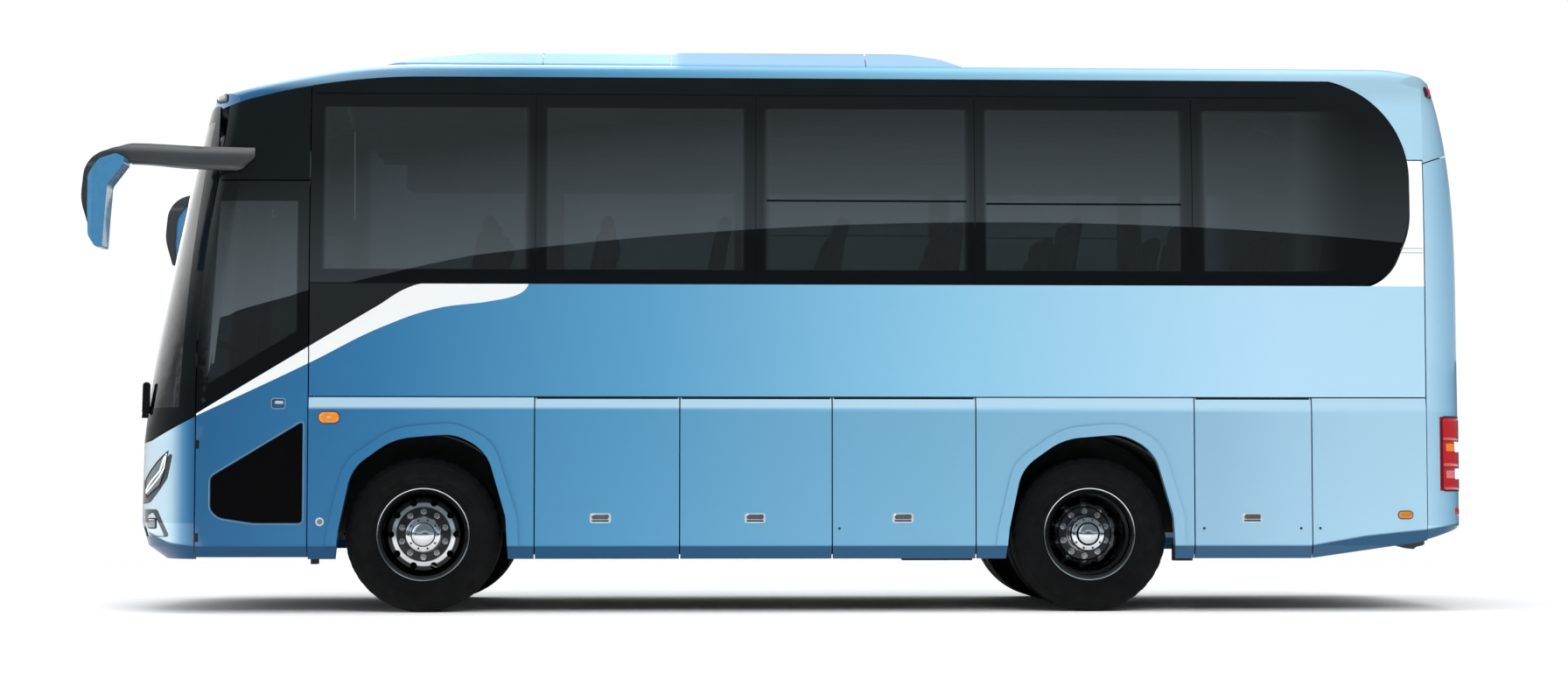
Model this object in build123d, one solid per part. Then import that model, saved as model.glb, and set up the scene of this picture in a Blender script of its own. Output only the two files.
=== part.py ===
"""Coach bus, 8.6 m long, as an assembly of separate panels, glass, running gear, seats and hinged doors.

Millimetres, +X rearwards, +Y to the vehicle's right, +Z up. Every piece is drawn with X measured from the
front axle and Z from the ground, and put() moves it so that the row origin is on the ground under the
middle of the overall length. Pieces of the two sides are drawn on the right (+Y) and mirrored to the left.
"""

import math
import os

from build123d import *

# ---- overall layout ------------------------------------------------------------------------------
WHEELBASE = 4200.0
HALF_WIDTH = 1240.0  # side skin above the skirt
SKIRT_PROUD = 10.0  # the skirt panels stand out past the side skin
FRONT_X = -1894.0  # foremost point of the bumper
REAR_OVERHANG = 2464.0
REAR_X = WHEELBASE + REAR_OVERHANG  # rearmost point of the rear cap
MIRROR_TIP_X = -2092.0
GROUND_CLEARANCE = 335.0  # underside of the skirt
TUCK_Z = 415.0  # the skirt tucks in below this height
TUCK_IN = 25.0
BELT_Z = 1349.0  # gap between the skirt and the waist panel
BEVEL_DROP = 69.0  # bevelled band along the top of the skirt
BEVEL_IN = 12.0
SILL_Z = 2062.0  # lower edge of the glass band
GLASS_TOP_Z = 3252.0  # upper edge of the side panes
CANT_Z = 3375.0  # upper edge of the black band, where the roof shoulder starts
SHOULDER_Z = 3458.0  # where the shoulder meets the roof crown
SHOULDER_HALF = 1062.0
CROWN_Z = 3494.0
TUMBLE_R = 14400.0  # the side leans in on this radius above the sill
WALL = 50.0  # side wall and door thickness
ROOF_T = 55.0
GLASS_T = 8.0
PANEL_GAP = 8.0
FLAP_GAP = 12.0
ORIGIN_X = (REAR_X + MIRROR_TIP_X) / 2

# ---- stations along the side, from the front axle ------------------------------------------------
DOOR_REAR_X = -714.0
BAY_X = [698.0, 1607.0, 2565.0, WHEELBASE - 729.0]  # gaps between the luggage flaps
SERVICE_X = [WHEELBASE + 657.0, WHEELBASE + 1405.0]  # the flap behind the rear wheels
REAR_CAP_X = REAR_X - 323.0
ROOF_TAIL_X = REAR_X - 624.0  # the roof bends down to the tail from here

# ---- front cap: centre of the nose, corner radius in plan, at each height ------------------------
NOSE_BOW_R = 4200.0
NOSE_LOW = [  # height, nose x, half width, corner radius
    (GROUND_CLEARANCE, -1736.0, HALF_WIDTH - TUCK_IN, 400.0),
    (TUCK_Z, -1850.0, HALF_WIDTH, 440.0),
    (560.0, FRONT_X, HALF_WIDTH, 450.0),
    (1080.0, -1884.0, HALF_WIDTH, 450.0),
]
NOSE_HIGH = [(1080.0, -1884.0, 450.0), (1600.0, -1813.0, 430.0), (2250.0, -1694.0, 380.0),
             (2900.0, -1558.0, 330.0), (3560.0, -1392.0, 300.0)]  # height, nose x, corner radius

# ---- rear cap ------------------------------------------------------------------------------------
TAIL_BOW_R = 9000.0
TAIL_CORNER_R = 280.0
TAIL_BACK_X = REAR_X - 864.0  # the cap is drawn from here
TAIL_LOW = [(455.0, REAR_X - 64, HALF_WIDTH - TUCK_IN), (540.0, REAR_X, HALF_WIDTH),
            (2050.0, REAR_X - 6, HALF_WIDTH)]  # height, tail x, half width
TAIL_HIGH = [(2050.0, REAR_X - 6), (2600.0, REAR_X - 24), (3050.0, REAR_X - 78), (3560.0, REAR_X - 224)]

# ---- roof ----------------------------------------------------------------------------------------
ROOF_FRONT_R = 4200.0  # the roof falls to the windscreen on this radius, from the front axle forwards
ROOF_TAIL_R = 1100.0

# ---- wheels --------------------------------------------------------------------------------------
TYRE_R = 487.0
TYRE_W = 240.0
TYRE_FACE_Y = 1185.0  # outer face of every outer tyre
TWIN_PITCH = 280.0
KINGPIN_Y = 975.0
FIT = 0.3  # running clearance at pins, rods and spindles

os.makedirs("parts", exist_ok=True)
PARTS = {}


def put(name, *shapes):
    """Keeps one node: the shapes are its solids, moved to the row frame."""
    solids = [s for shape in shapes for s in shape.solids()]
    PARTS[name] = Pos(-ORIGIN_X, 0, 0) * Compound(children=solids)


def both(shape):
    """A right-hand shape and its mirror image on the left."""
    return [shape, mirror(shape, about=Plane.XZ)]


def along_y(sketch, y0, y1):
    """A side-view (X, Z) sketch extruded from y0 to y1."""
    return extrude(Plane(origin=(0, y1, 0), x_dir=(1, 0, 0), z_dir=(0, -1, 0)) * sketch, y1 - y0)


def along_x(sketch, x0, x1):
    """A front-view (Y, Z) sketch extruded from x0 to x1."""
    return extrude(Plane(origin=(x0, 0, 0), x_dir=(0, 1, 0), z_dir=(1, 0, 0)) * sketch, x1 - x0)


def block(x0, x1, y0, y1, z0, z1):
    return Pos((x0 + x1) / 2, (y0 + y1) / 2, (z0 + z1) / 2) * Box(x1 - x0, y1 - y0, z1 - z0)


def polygon(*points):
    return make_face(Polyline(*points, close=True))


def rounded(points, radii):
    """A closed outline of straight sides with its own radius at each corner."""
    return make_face(FilletPolyline(*points, radius=radii, close=True))


def rod_x(x0, x1, y, z, r):
    return Pos((x0 + x1) / 2, y, z) * Rot(0, 90, 0) * Cylinder(r, x1 - x0)


def rod_y(y0, y1, x, z, r):
    return Pos(x, (y0 + y1) / 2, z) * Rot(90, 0, 0) * Cylinder(r, y1 - y0)


def rod_z(z0, z1, x, y, r):
    return Pos(x, y, (z0 + z1) / 2) * Cylinder(r, z1 - z0)


WALL_IN = HALF_WIDTH - WALL


# ---- body surfaces -------------------------------------------------------------------------------
def half_width(z):
    """Half width of the side skin at a height: upright to the sill, then leaning in."""
    return HALF_WIDTH - TUMBLE_R + math.sqrt(TUMBLE_R ** 2 - max(0.0, z - SILL_Z) ** 2)


def cap_outline(z, end_x, half, corner_r, bow_r, back_x, sense, inset):
    """Plan outline of an end cap at one height: side, corner arc, bowed end, corner arc, side.

    sense is -1 for the nose and +1 for the tail, and back_x is where the cap is cut off behind."""
    half, corner_r, bow_r, end_x = half - inset, corner_r - inset, bow_r - inset, end_x - sense * inset
    bow_x = end_x - sense * bow_r
    run = math.sqrt((bow_r - corner_r) ** 2 - (half - corner_r) ** 2)
    corner_x = bow_x + sense * run
    lean = math.atan2(half - corner_r, run)

    def at_corner(angle):
        return (corner_x + sense * corner_r * math.cos(angle), half - corner_r + corner_r * math.sin(angle))

    side, middle, end = at_corner(math.pi / 2), at_corner((math.pi / 2 + lean) / 2), at_corner(lean)
    edges = [
        Line((back_x, -half), (side[0], -side[1])),
        ThreePointArc((side[0], -side[1]), (middle[0], -middle[1]), (end[0], -end[1])),
        ThreePointArc((end[0], -end[1]), (end_x, 0), end),
        ThreePointArc(end, middle, side),
        Line(side, (back_x, half)),
        Line((back_x, half), (back_x, -half)),
    ]
    return Pos(0, 0, z) * make_face(Wire(edges))


def nose(inset):
    """Solid of the whole front cap back to the first pillar, shrunk by inset."""
    low = [cap_outline(z, x, w, r, NOSE_BOW_R, DOOR_REAR_X, -1, inset) for z, x, w, r in NOSE_LOW]
    high = [cap_outline(z, x, half_width(z), r, NOSE_BOW_R, DOOR_REAR_X, -1, inset)
            for z, x, r in NOSE_HIGH]
    return loft(low, ruled=True) + loft(high)


def tail(inset):
    """Solid of the whole rear cap, shrunk by inset."""
    stations = [*TAIL_LOW, *[(z, x, half_width(z)) for z, x in TAIL_HIGH]]
    outlines = [cap_outline(z, x, w, TAIL_CORNER_R, TAIL_BOW_R, TAIL_BACK_X, 1, inset)
                for z, x, w in stations]
    low, high = outlines[:len(TAIL_LOW)], outlines[len(TAIL_LOW):]
    return loft(low, ruled=True) + loft(high)


def swept_roof(sketch):
    """A front-view sketch carried along the roof line: level, then falling at the nose and at the tail."""
    front_axis = Axis((0, 0, CROWN_Z - ROOF_FRONT_R), (0, 1, 0))
    tail_axis = Axis((ROOF_TAIL_X, 0, CROWN_Z - ROOF_TAIL_R), (0, 1, 0))
    at_front = Plane(origin=(0, 0, 0), x_dir=(0, 1, 0), z_dir=(1, 0, 0)) * sketch
    at_tail = Plane(origin=(ROOF_TAIL_X, 0, 0), x_dir=(0, 1, 0), z_dir=(1, 0, 0)) * sketch
    return (extrude(at_front, ROOF_TAIL_X) + revolve(at_front, front_axis, -30)
            + revolve(at_tail, tail_axis, 55))


ABOVE = 500.0  # how far the roof cutter reaches past the skin


def above_roof(inset):
    """Everything above the roof skin, or above its inner face when inset."""
    crown, shoulder, half, cant = CROWN_Z - inset, SHOULDER_Z - inset, SHOULDER_HALF - inset * 0.6, CANT_Z
    side = half_width(CANT_Z) - inset
    lean = (side + half) / 2 + (side - half) * 0.27
    bend = (cant + shoulder) / 2 + (shoulder - cant) * 0.27
    edges = [
        Line((-side - ABOVE, cant), (-side, cant)),
        ThreePointArc((-side, cant), (-lean, bend), (-half, shoulder)),
        ThreePointArc((-half, shoulder), (0, crown), (half, shoulder)),
        ThreePointArc((half, shoulder), (lean, bend), (side, cant)),
        Line((side, cant), (side + ABOVE, cant)),
        Line((side + ABOVE, cant), (side + ABOVE, crown + ABOVE)),
        Line((side + ABOVE, crown + ABOVE), (-side - ABOVE, crown + ABOVE)),
        Line((-side - ABOVE, crown + ABOVE), (-side - ABOVE, cant)),
    ]
    return swept_roof(make_face(Wire(edges)))


def above_cant(z):
    """Everything above the line of the roof shoulder's lower edge, at height z on the level stretch."""
    reach = HALF_WIDTH + ABOVE
    return swept_roof(polygon((-reach, z), (reach, z), (reach, CROWN_Z + ABOVE), (-reach, CROWN_Z + ABOVE)))


NOSE_OUT, NOSE_GLASS, NOSE_IN = nose(0), nose(GLASS_T), nose(WALL)
TAIL_OUT, TAIL_GLASS, TAIL_IN = tail(0), tail(GLASS_T), tail(WALL)
BEHIND_NOSE = block(DOOR_REAR_X, ROOF_TAIL_X + 900, -1700, 1700, 0, 4200)
ROOF_CUT = above_roof(0)
CANT_CUT = above_cant(CANT_Z)
ROOF_ZONE = above_roof(ROOF_T)  # where the roof shell sits, and all above it


def side_sketch(outer_inset, inner_inset, z0, z1):
    """Front-view strip of the right-hand side wall between two insets and two heights."""
    def at(z, inset):
        return (half_width(z) - inset, z)

    bend = max(z0, SILL_Z)
    middle = (bend + z1) / 2
    edges = [Line(at(z0, inner_inset), at(z0, outer_inset))]
    if bend > z0:
        edges.append(Line(at(z0, outer_inset), at(bend, outer_inset)))
    edges += [
        ThreePointArc(at(bend, outer_inset), at(middle, outer_inset), at(z1, outer_inset)),
        Line(at(z1, outer_inset), at(z1, inner_inset)),
        ThreePointArc(at(z1, inner_inset), at(middle, inner_inset), at(bend, inner_inset)),
    ]
    if bend > z0:
        edges.append(Line(at(bend, inner_inset), at(z0, inner_inset)))
    return make_face(Wire(edges))


# ---- side walls: waist panel, black window band, panes, rear quarter -----------------------------
BAND_END_X = REAR_X - 419.0  # the glass band ends here
DLO_END = [(BAND_END_X, CANT_Z), (BAND_END_X, 2420.0), (BAND_END_X - 160, SILL_Z)]  # its rear end
DLO_RADII = [640.0, 520.0, 290.0]
BAND_TOP_Z = CANT_Z + 8.0  # the band is drawn to here and trimmed to the roof's edge
BAND_START_X = DOOR_REAR_X + PANEL_GAP / 2


def band_outline(z0, z1, shrink, x0):
    """Side view of the glass band: square in front, with its big rounded rear end, shrunk all round."""
    (top_x, _), (mid_x, mid_z), (low_x, _) = DLO_END
    points = [(x0 + shrink, z0 + shrink), (low_x - shrink, z0 + shrink), (mid_x - shrink, mid_z),
              (top_x - shrink, z1 - shrink), (x0 + shrink, z1 - shrink)]
    radii = [1.0, DLO_RADII[2] - shrink, DLO_RADII[1] - shrink, DLO_RADII[0] - shrink, 1.0]
    return rounded(points, radii)


WINDOW_X = [DOOR_REAR_X, BAY_X[0], 2084.0, BAY_X[3], SERVICE_X[0], BAND_END_X]  # pane edges
PANE_GAP = 6.0
FRIT = 62.0  # black border of each pane, where the frame lies behind the glass
SASH_LOW, SASH_HIGH = 88.0, 68.0  # its lower and upper border
SASH_R = 30.0

WAIST_X = (DOOR_REAR_X + PANEL_GAP / 2, REAR_CAP_X - PANEL_GAP / 2)
WAIST_Z = (BELT_Z + PANEL_GAP / 2, SILL_Z - PANEL_GAP / 2)
put("waist_panels", *both(block(*WAIST_X, WALL_IN, HALF_WIDTH, *WAIST_Z)))

band = along_x(side_sketch(0, WALL, SILL_Z - 4, BAND_TOP_Z), BAND_START_X, BAND_END_X + 60)
band_shape = along_y(band_outline(SILL_Z - 4, BAND_TOP_Z, 0, BAND_START_X - 100), 900, 1400)
pane_plate = along_x(side_sketch(0, GLASS_T, SILL_Z, GLASS_TOP_Z), BAND_START_X - 50, BAND_END_X + 60)
pane_shape = along_y(band_outline(SILL_Z, BAND_TOP_Z, 4, BAND_START_X - 100), 900, 1400)
pane_plate = pane_plate & pane_shape
frame_solid = (band & band_shape) - pane_plate
for left, right in zip(WINDOW_X[:-1], WINDOW_X[1:]):
    if right == WINDOW_X[-1]:
        hole = band_outline(SILL_Z, GLASS_TOP_Z, FRIT + 20, left)
    else:
        x0, x1, z0, z1 = left + FRIT, right - FRIT, SILL_Z + SASH_LOW, GLASS_TOP_Z - SASH_HIGH
        hole = rounded([(x0, z0), (x1, z0), (x1, z1), (x0, z1)], [SASH_R] * 4)
    frame_solid -= along_y(hole, 900, 1400)
frame_solid -= CANT_CUT

panes = []
for left, right in zip(WINDOW_X[:-1], WINDOW_X[1:]):
    end = right + 50 if right == WINDOW_X[-1] else right - PANE_GAP / 2
    panes += both(pane_plate & block(left + PANE_GAP / 2, end, 900, 1400, 1900, 3300))
put("side_windows", *panes)

QUARTER_TOP_Z = 2862.0
SEAM_LINE = [(REAR_X - 464, QUARTER_TOP_Z - 70), (REAR_X + 36, QUARTER_TOP_Z + 103)]  # below the rear dome
QUARTER_X = REAR_X - 1064.0  # the quarter and the dome's side are drawn from here
quarter_cut = along_y(band_outline(SILL_Z - 4 - PANEL_GAP, BAND_TOP_Z, -PANEL_GAP, 4000), 900, 1400)
quarter_side = side_sketch(0, WALL, SILL_Z - 4, QUARTER_TOP_Z)
quarter = along_x(quarter_side, QUARTER_X, REAR_CAP_X - PANEL_GAP / 2) - quarter_cut
put("rear_quarters", *both(quarter))

# ---- roof ----------------------------------------------------------------------------------------
roof_body = ROOF_ZONE - ROOF_CUT
roof_zone = block(DOOR_REAR_X - 1, ROOF_TAIL_X - 40, -1300, 1300, 2900, 3700)
roof_body &= NOSE_OUT + roof_zone + TAIL_OUT
roof_body &= block(-1700, REAR_X + 36, -1300, 1300, 2900, 3700)
put("roof_shell", roof_body)

POD_LINE = [(-285.0, 3420.0), (-282.0, 3491.0), (-69.0, 3544.0), (324.0, 3591.0), (723.0, 3610.0),
            (2805.0, 3612.0), (3095.0, 3597.0), (3294.0, 3558.0), (3425.0, 3502.0), (3440.0, 3420.0)]
POD_HALF = 900.0
POD_SEAMS = [723.0, 1547.0, 2805.0]
POD_GAP = 6.0
pod = along_y(polygon(*POD_LINE), -POD_HALF, POD_HALF)
pod &= along_x(rounded([(-POD_HALF, 3300), (POD_HALF, 3300), (POD_HALF - 20, 3500), (POD_HALF - 160, 3604),
                        (0, 3618), (160 - POD_HALF, 3604), (20 - POD_HALF, 3500)],
                       [1, 1, 60, 90, 3000, 90, 60]), -300, 3460)
pod &= ROOF_CUT
for x in POD_SEAMS:
    pod -= block(x - POD_GAP / 2, x + POD_GAP / 2, -1000, 1000, 3300, 3700)
put("roof_unit", pod)

# ---- skirt: arch panels, flaps, corner panels ----------------------------------------------------
SKIRT_OUT = HALF_WIDTH + SKIRT_PROUD
SKIRT_IN = SKIRT_OUT - WALL
SKIRT_TOP = BELT_Z - PANEL_GAP / 2
skirt_profile = polygon((SKIRT_IN, GROUND_CLEARANCE), (SKIRT_OUT - TUCK_IN, GROUND_CLEARANCE),
                        (SKIRT_OUT, TUCK_Z), (SKIRT_OUT, BELT_Z - BEVEL_DROP),
                        (SKIRT_OUT - BEVEL_IN, SKIRT_TOP), (SKIRT_IN, SKIRT_TOP))
TAIL_UNDERSIDE = [(SERVICE_X[1] - 10, GROUND_CLEARANCE), (REAR_X - 362, 438.0), (REAR_X + 36, 556.0)]
under_tail = along_y(polygon(*TAIL_UNDERSIDE, (REAR_X + 36, 0), (SERVICE_X[1] - 10, 0)), -1400, 1400)

ARCH_TOP_Z = 1112.0
FLARE = 70.0  # width of the raised lip round the arch
FLARE_PROUD = 14.0


def arch_outline(grow):
    """Side view of an arch opening: sides leaning in, rounded shoulders and a slightly crowned top."""
    points = [(-548 - grow, 250), (-520 - grow, 520), (-440 - grow * 0.7, 900 + grow * 0.6),
              (-180, 1085 + grow), (200, ARCH_TOP_Z + 6 + grow), (400 + grow * 0.6, 1010 + grow * 0.9),
              (520 + grow, 600), (540 + grow, 250)]
    return rounded(points, [1, 200, 260, 400, 300, 260, 200, 1])


def arch_panel(x0, x1, axle_x):
    panel = along_x(skirt_profile, x0 + PANEL_GAP / 2, x1 - PANEL_GAP / 2)
    lip = Pos(axle_x, 0, 0) * along_y(arch_outline(FLARE), SKIRT_IN + 10, SKIRT_OUT + FLARE_PROUD)
    lip = lip & block(x0 + PANEL_GAP / 2 + 60, x1 - PANEL_GAP / 2 - 60, 1100, 1400, TUCK_Z, SKIRT_TOP - 40)
    return (panel + lip) - Pos(axle_x, 0, 0) * along_y(arch_outline(0), 1100, 1400)


front_arch = arch_panel(DOOR_REAR_X, BAY_X[0], 0)
rear_arch = arch_panel(BAY_X[3], SERVICE_X[0], WHEELBASE)

ROD_R = 5.0
ROD_FIT = 0.4
FLAP_AXIS_Y = SKIRT_OUT - BEVEL_IN - 6
FLAP_AXIS_Z = SKIRT_TOP - 7
WEB_T = 3.0
hinge_parts = []


def flap(x0, x1):
    """A side flap hung on a rod along its top edge, on the right."""
    x0, x1 = x0 + PANEL_GAP / 2, x1 - PANEL_GAP / 2
    panel = along_x(skirt_profile, x0, x1) - under_tail
    slot_y, slot_z = FLAP_AXIS_Y - ROD_R / 2, FLAP_AXIS_Z - ROD_R / 2
    panel -= block(x0 - 1, x1 + 1, slot_y, SKIRT_OUT + 1, slot_z, SKIRT_TOP + 1)
    panel -= rod_x(x0 - 1, x1 + 1, FLAP_AXIS_Y, FLAP_AXIS_Z, ROD_R + ROD_FIT)
    rod = rod_x(x0 + 10, x1 - 10, FLAP_AXIS_Y, FLAP_AXIS_Z, ROD_R)
    web_y0, web_y1 = FLAP_AXIS_Y - WEB_T / 2, FLAP_AXIS_Y + WEB_T / 2
    web = block(x0 + 10, x1 - 10, web_y0, web_y1, FLAP_AXIS_Z, BELT_Z + PANEL_GAP / 2)
    hinge_parts.extend(both(rod + web))
    return panel


FLAPS = [("luggage_flap_1", BAY_X[0], BAY_X[1]), ("luggage_flap_2", BAY_X[1], BAY_X[2]),
         ("luggage_flap_3", BAY_X[2], BAY_X[3]), ("service_flap", *SERVICE_X)]  # name, front, rear
for name, x0, x1 in FLAPS:
    right, left = both(flap(x0, x1))
    put(f"{name}_right", right)
    put(f"{name}_left", left)

corner = along_x(skirt_profile, SERVICE_X[1] + PANEL_GAP / 2, REAR_CAP_X - PANEL_GAP / 2) - under_tail
put("skirt_panels", *both(front_arch), *both(rear_arch), *both(corner))

# ---- front: fascia, windscreen and its frame -----------------------------------------------------
NOSE_SHELL = NOSE_OUT - NOSE_IN
DOOR_FRONT = [(-1293.0, 2703.0), (-1364.0, 2241.0), (-1412.0, 1640.0)]  # its front edge bows through these
SCREEN_REAR = [(-1310.0, 3200.0), (-1445.0, 2300.0), (-1522.0, 1283.0)]  # side edge of the windscreen
SCREEN_FLANGE = 70.0


def edge_region(curve, shift, top, bottom, front_x):
    """Side view of everything ahead of a bowed edge, moved by shift, between two heights."""
    a, b, c = [(x + shift, z) for x, z in curve]
    below = [c] if c[1] == bottom else [c, (c[0], bottom)]
    above = [a] if a[1] == top else [(a[0], top), a]
    corners = [*below, (front_x, bottom), (front_x, top), *above]
    sides = [Line(p, q) for p, q in zip(corners, corners[1:])]
    return make_face(Wire([ThreePointArc(a, b, c), *sides]))


def screen_region(shrink):
    """Side view of the windscreen's area, shrunk at its side edge and along its foot."""
    foot = SCREEN_REAR[2][1] + shrink
    return edge_region(SCREEN_REAR, -shrink, SCREEN_REAR[0][1], foot, -2200)


ahead_of_door = along_y(edge_region(DOOR_FRONT, -PANEL_GAP / 2, 3600, 200, -2200), -1400, 1400)
MASK_LINE = [(-1380.0, 1242.0), (-1709.0, 1076.0), (-2200.0, 960.0)]  # the black mask meets the fascia here
below_mask = along_y(polygon(*MASK_LINE, (-2200, 100), (-1380, 100)), -1400, 1400)
above_mask = along_y(polygon(*[(x, z + PANEL_GAP) for x, z in MASK_LINE], (-2200, 3700), (-1200, 3700),
                             (-1200, 1242)), -1400, 1400)
front_shell = NOSE_SHELL & ahead_of_door
screen_cut = along_y(screen_region(0), -1400, 1400)
screen_hole = along_y(screen_region(SCREEN_FLANGE), -1400, 1400)
low_roof = above_cant(CANT_Z - 58)
high_screen = above_cant(CANT_Z - 58 - SCREEN_FLANGE)
screen_shell = (NOSE_OUT - NOSE_GLASS) & screen_cut
windscreen = screen_shell - low_roof
frame_front = (front_shell & above_mask) - ROOF_ZONE - windscreen - (screen_hole - high_screen)
put("windscreen", windscreen)
put("windscreen_frame", frame_front)

LAMP_LINE = [(-1552.0, 1022.0), (-1700.0, 848.0), (-2000.0, 770.0), (-2000.0, 640.0), (-1716.0, 686.0),
             (-1642.0, 770.0), (-1592.0, 838.0)]  # headlamp, seen from the side
LAMP_RADII = [12.0, 90.0, 1.0, 1.0, 50.0, 60.0, 60.0]
FOG_LINE = [(-1662.0, 645.0), (-1574.0, 472.0), (-2000.0, 472.0), (-2000.0, 645.0)]
FOG_RADII = [24.0, 16.0, 1.0, 1.0]
LAMP_INNER_Y, FOG_INNER_Y = 640.0, 700.0
GRILLE = (-440.0, 440.0, 455.0, 545.0)  # sunk air intake in the bumper: sides, bottom, top
GRILLE_DEPTH = 30.0
lamp_right = along_y(rounded(LAMP_LINE, LAMP_RADII), LAMP_INNER_Y, 1300)
fog_right = along_y(rounded(FOG_LINE, FOG_RADII), FOG_INNER_Y, 1300)
lower_nose = front_shell & below_mask
intake = Pos((GRILLE[0] + GRILLE[1]) / 2, (GRILLE[2] + GRILLE[3]) / 2) * RectangleRounded(
    GRILLE[1] - GRILLE[0], GRILLE[3] - GRILLE[2], 30)
fascia = lower_nose - ((NOSE_OUT - nose(GRILLE_DEPTH)) & along_x(intake, -2000, -1500))
for cut in both(lamp_right) + both(fog_right):
    fascia -= cut
put("front_fascia", fascia)
lamp = lower_nose & lamp_right
fog = (nose(15) - NOSE_IN) & fog_right & ahead_of_door
put("front_lamps", *both(lamp), *both(fog))

# ---- doors ---------------------------------------------------------------------------------------
DOOR_FOOT_Z = 347.0
door_front = [(x + PANEL_GAP / 2, z) for x, z in DOOR_FRONT]
door_back_x = DOOR_REAR_X - PANEL_GAP / 2
door_corners = [door_front[2], (door_front[2][0], DOOR_FOOT_Z), (door_back_x, DOOR_FOOT_Z),
                (door_back_x, door_front[0][1]), door_front[0]]
door_sides = [Line(p, q) for p, q in zip(door_corners, door_corners[1:])]
door_region = make_face(Wire([ThreePointArc(*door_front), *door_sides]))
door_cut = along_y(door_region, 700, 1400)
door_leaf = NOSE_SHELL & door_cut
GLASS_LINE = [(-1500.0, 1186.0), (-600.0, 1738.0), (-600.0, 2800.0), (-1500.0, 2800.0)]  # above the stripe
CLEAR_LINE = [(-1276.0, 2574.0), (-788.0, 2574.0), (-794.0, 1752.0), (-1344.0, 1420.0)]
pane = (NOSE_OUT - NOSE_GLASS) & door_cut & along_y(polygon(*GLASS_LINE), 700, 1400)
door_leaf = door_leaf - pane - along_y(rounded(CLEAR_LINE, [20, 20, 40, 40]), 700, 1400)

DOOR_EDGE_X = DOOR_FRONT[2][0] - PANEL_GAP / 2  # rear edge of the fascia, which carries the driver's door
HINGE_X, HINGE_Y = DOOR_EDGE_X + 22, HALF_WIDTH - 9
PIN_R = 3.0
HINGE_Z = [470.0, 1050.0]
LEAF_HALF, PIN_HALF = 25.0, 45.0
driver_leaf = door_leaf
KICK_LINE = [(-1318.0, 848.0), (-744.0, 1197.0), (-744.0, 557.0), (-1050.0, 557.0), (-1262.0, 590.0),
             (-1318.0, 640.0)]  # sunk panel low on the driver's door
KICK_RADII = [18.0, 18.0, 24.0, 200.0, 60.0, 60.0]
KICK_DEPTH = 4.0
PULL = (-899.0, 1305.0, 77.0, 55.0)  # finger recess of its handle: centre, length, height
PULL_DEPTH = 16.0
driver_leaf -= (NOSE_OUT - nose(KICK_DEPTH)) & along_y(rounded(KICK_LINE, KICK_RADII), 700, 1400)
pull = Pos(PULL[0], PULL[1]) * RectangleRounded(PULL[2], PULL[3], 14)
driver_leaf -= along_y(pull, HALF_WIDTH - PULL_DEPTH, 1400)
for z in HINGE_Z:
    z0, z1 = z - LEAF_HALF, z + LEAF_HALF
    driver_leaf -= block(DOOR_EDGE_X, HINGE_X + 6, HINGE_Y - 12, HINGE_Y + 30, z0 - 2, z1 + 2)
    driver_leaf -= rod_z(z - PIN_HALF - 1, z + PIN_HALF + 1, HINGE_X, HINGE_Y, PIN_R + ROD_FIT)
    leaf = block(DOOR_EDGE_X, HINGE_X, HINGE_Y - 6, HINGE_Y + 2, z0, z1)
    leaf += rod_z(z - PIN_HALF, z + PIN_HALF, HINGE_X, HINGE_Y, PIN_R)
    hinge_parts.append(mirror(leaf, about=Plane.XZ))

# over-door panels
OVER_DOOR_FRONT = [(-1220.0, 3300.0), (-1293.0, 2703.0), (-1330.0, 2500.0)]
over_door = NOSE_SHELL & block(-1500, door_back_x, 0, 1400, DOOR_FRONT[0][1] + PANEL_GAP, 3600)
over_door -= CANT_CUT + along_y(edge_region(OVER_DOOR_FRONT, 0, 3600, 200, -2200), 0, 1400)
put("window_frames", *both(frame_solid), *both(over_door))
put("driver_door", mirror(driver_leaf, about=Plane.XZ))
put("driver_door_glass", mirror(pane, about=Plane.XZ))

# The passenger door hangs on a swan-neck arm: it swings out and forwards and stays level with the side.
SHAFT_X, SHAFT_Y, SHAFT_R = -1352.0, 1130.0, 16.0
ELBOW = (-1286.0, 995.0)
LUG_X, LUG_Y, LUG_R = -1063.0, 1090.0, 8.0
ARM_HALF, ARM_T = 13.0, 30.0
ARM_Z = [1000.0, 1480.0]  # undersides of the two arms
PLATE_T = 20.0


def bar(p, q, half, z0, z1):
    """A flat bar with round ends between two points in plan."""
    length, turn = math.dist(p, q), math.degrees(math.atan2(q[1] - p[1], q[0] - p[0]))
    middle = Pos((p[0] + q[0]) / 2, (p[1] + q[1]) / 2, z0)
    return extrude(middle * Rot(0, 0, turn) * SlotCenterToCenter(length, 2 * half), z1 - z0)


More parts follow.
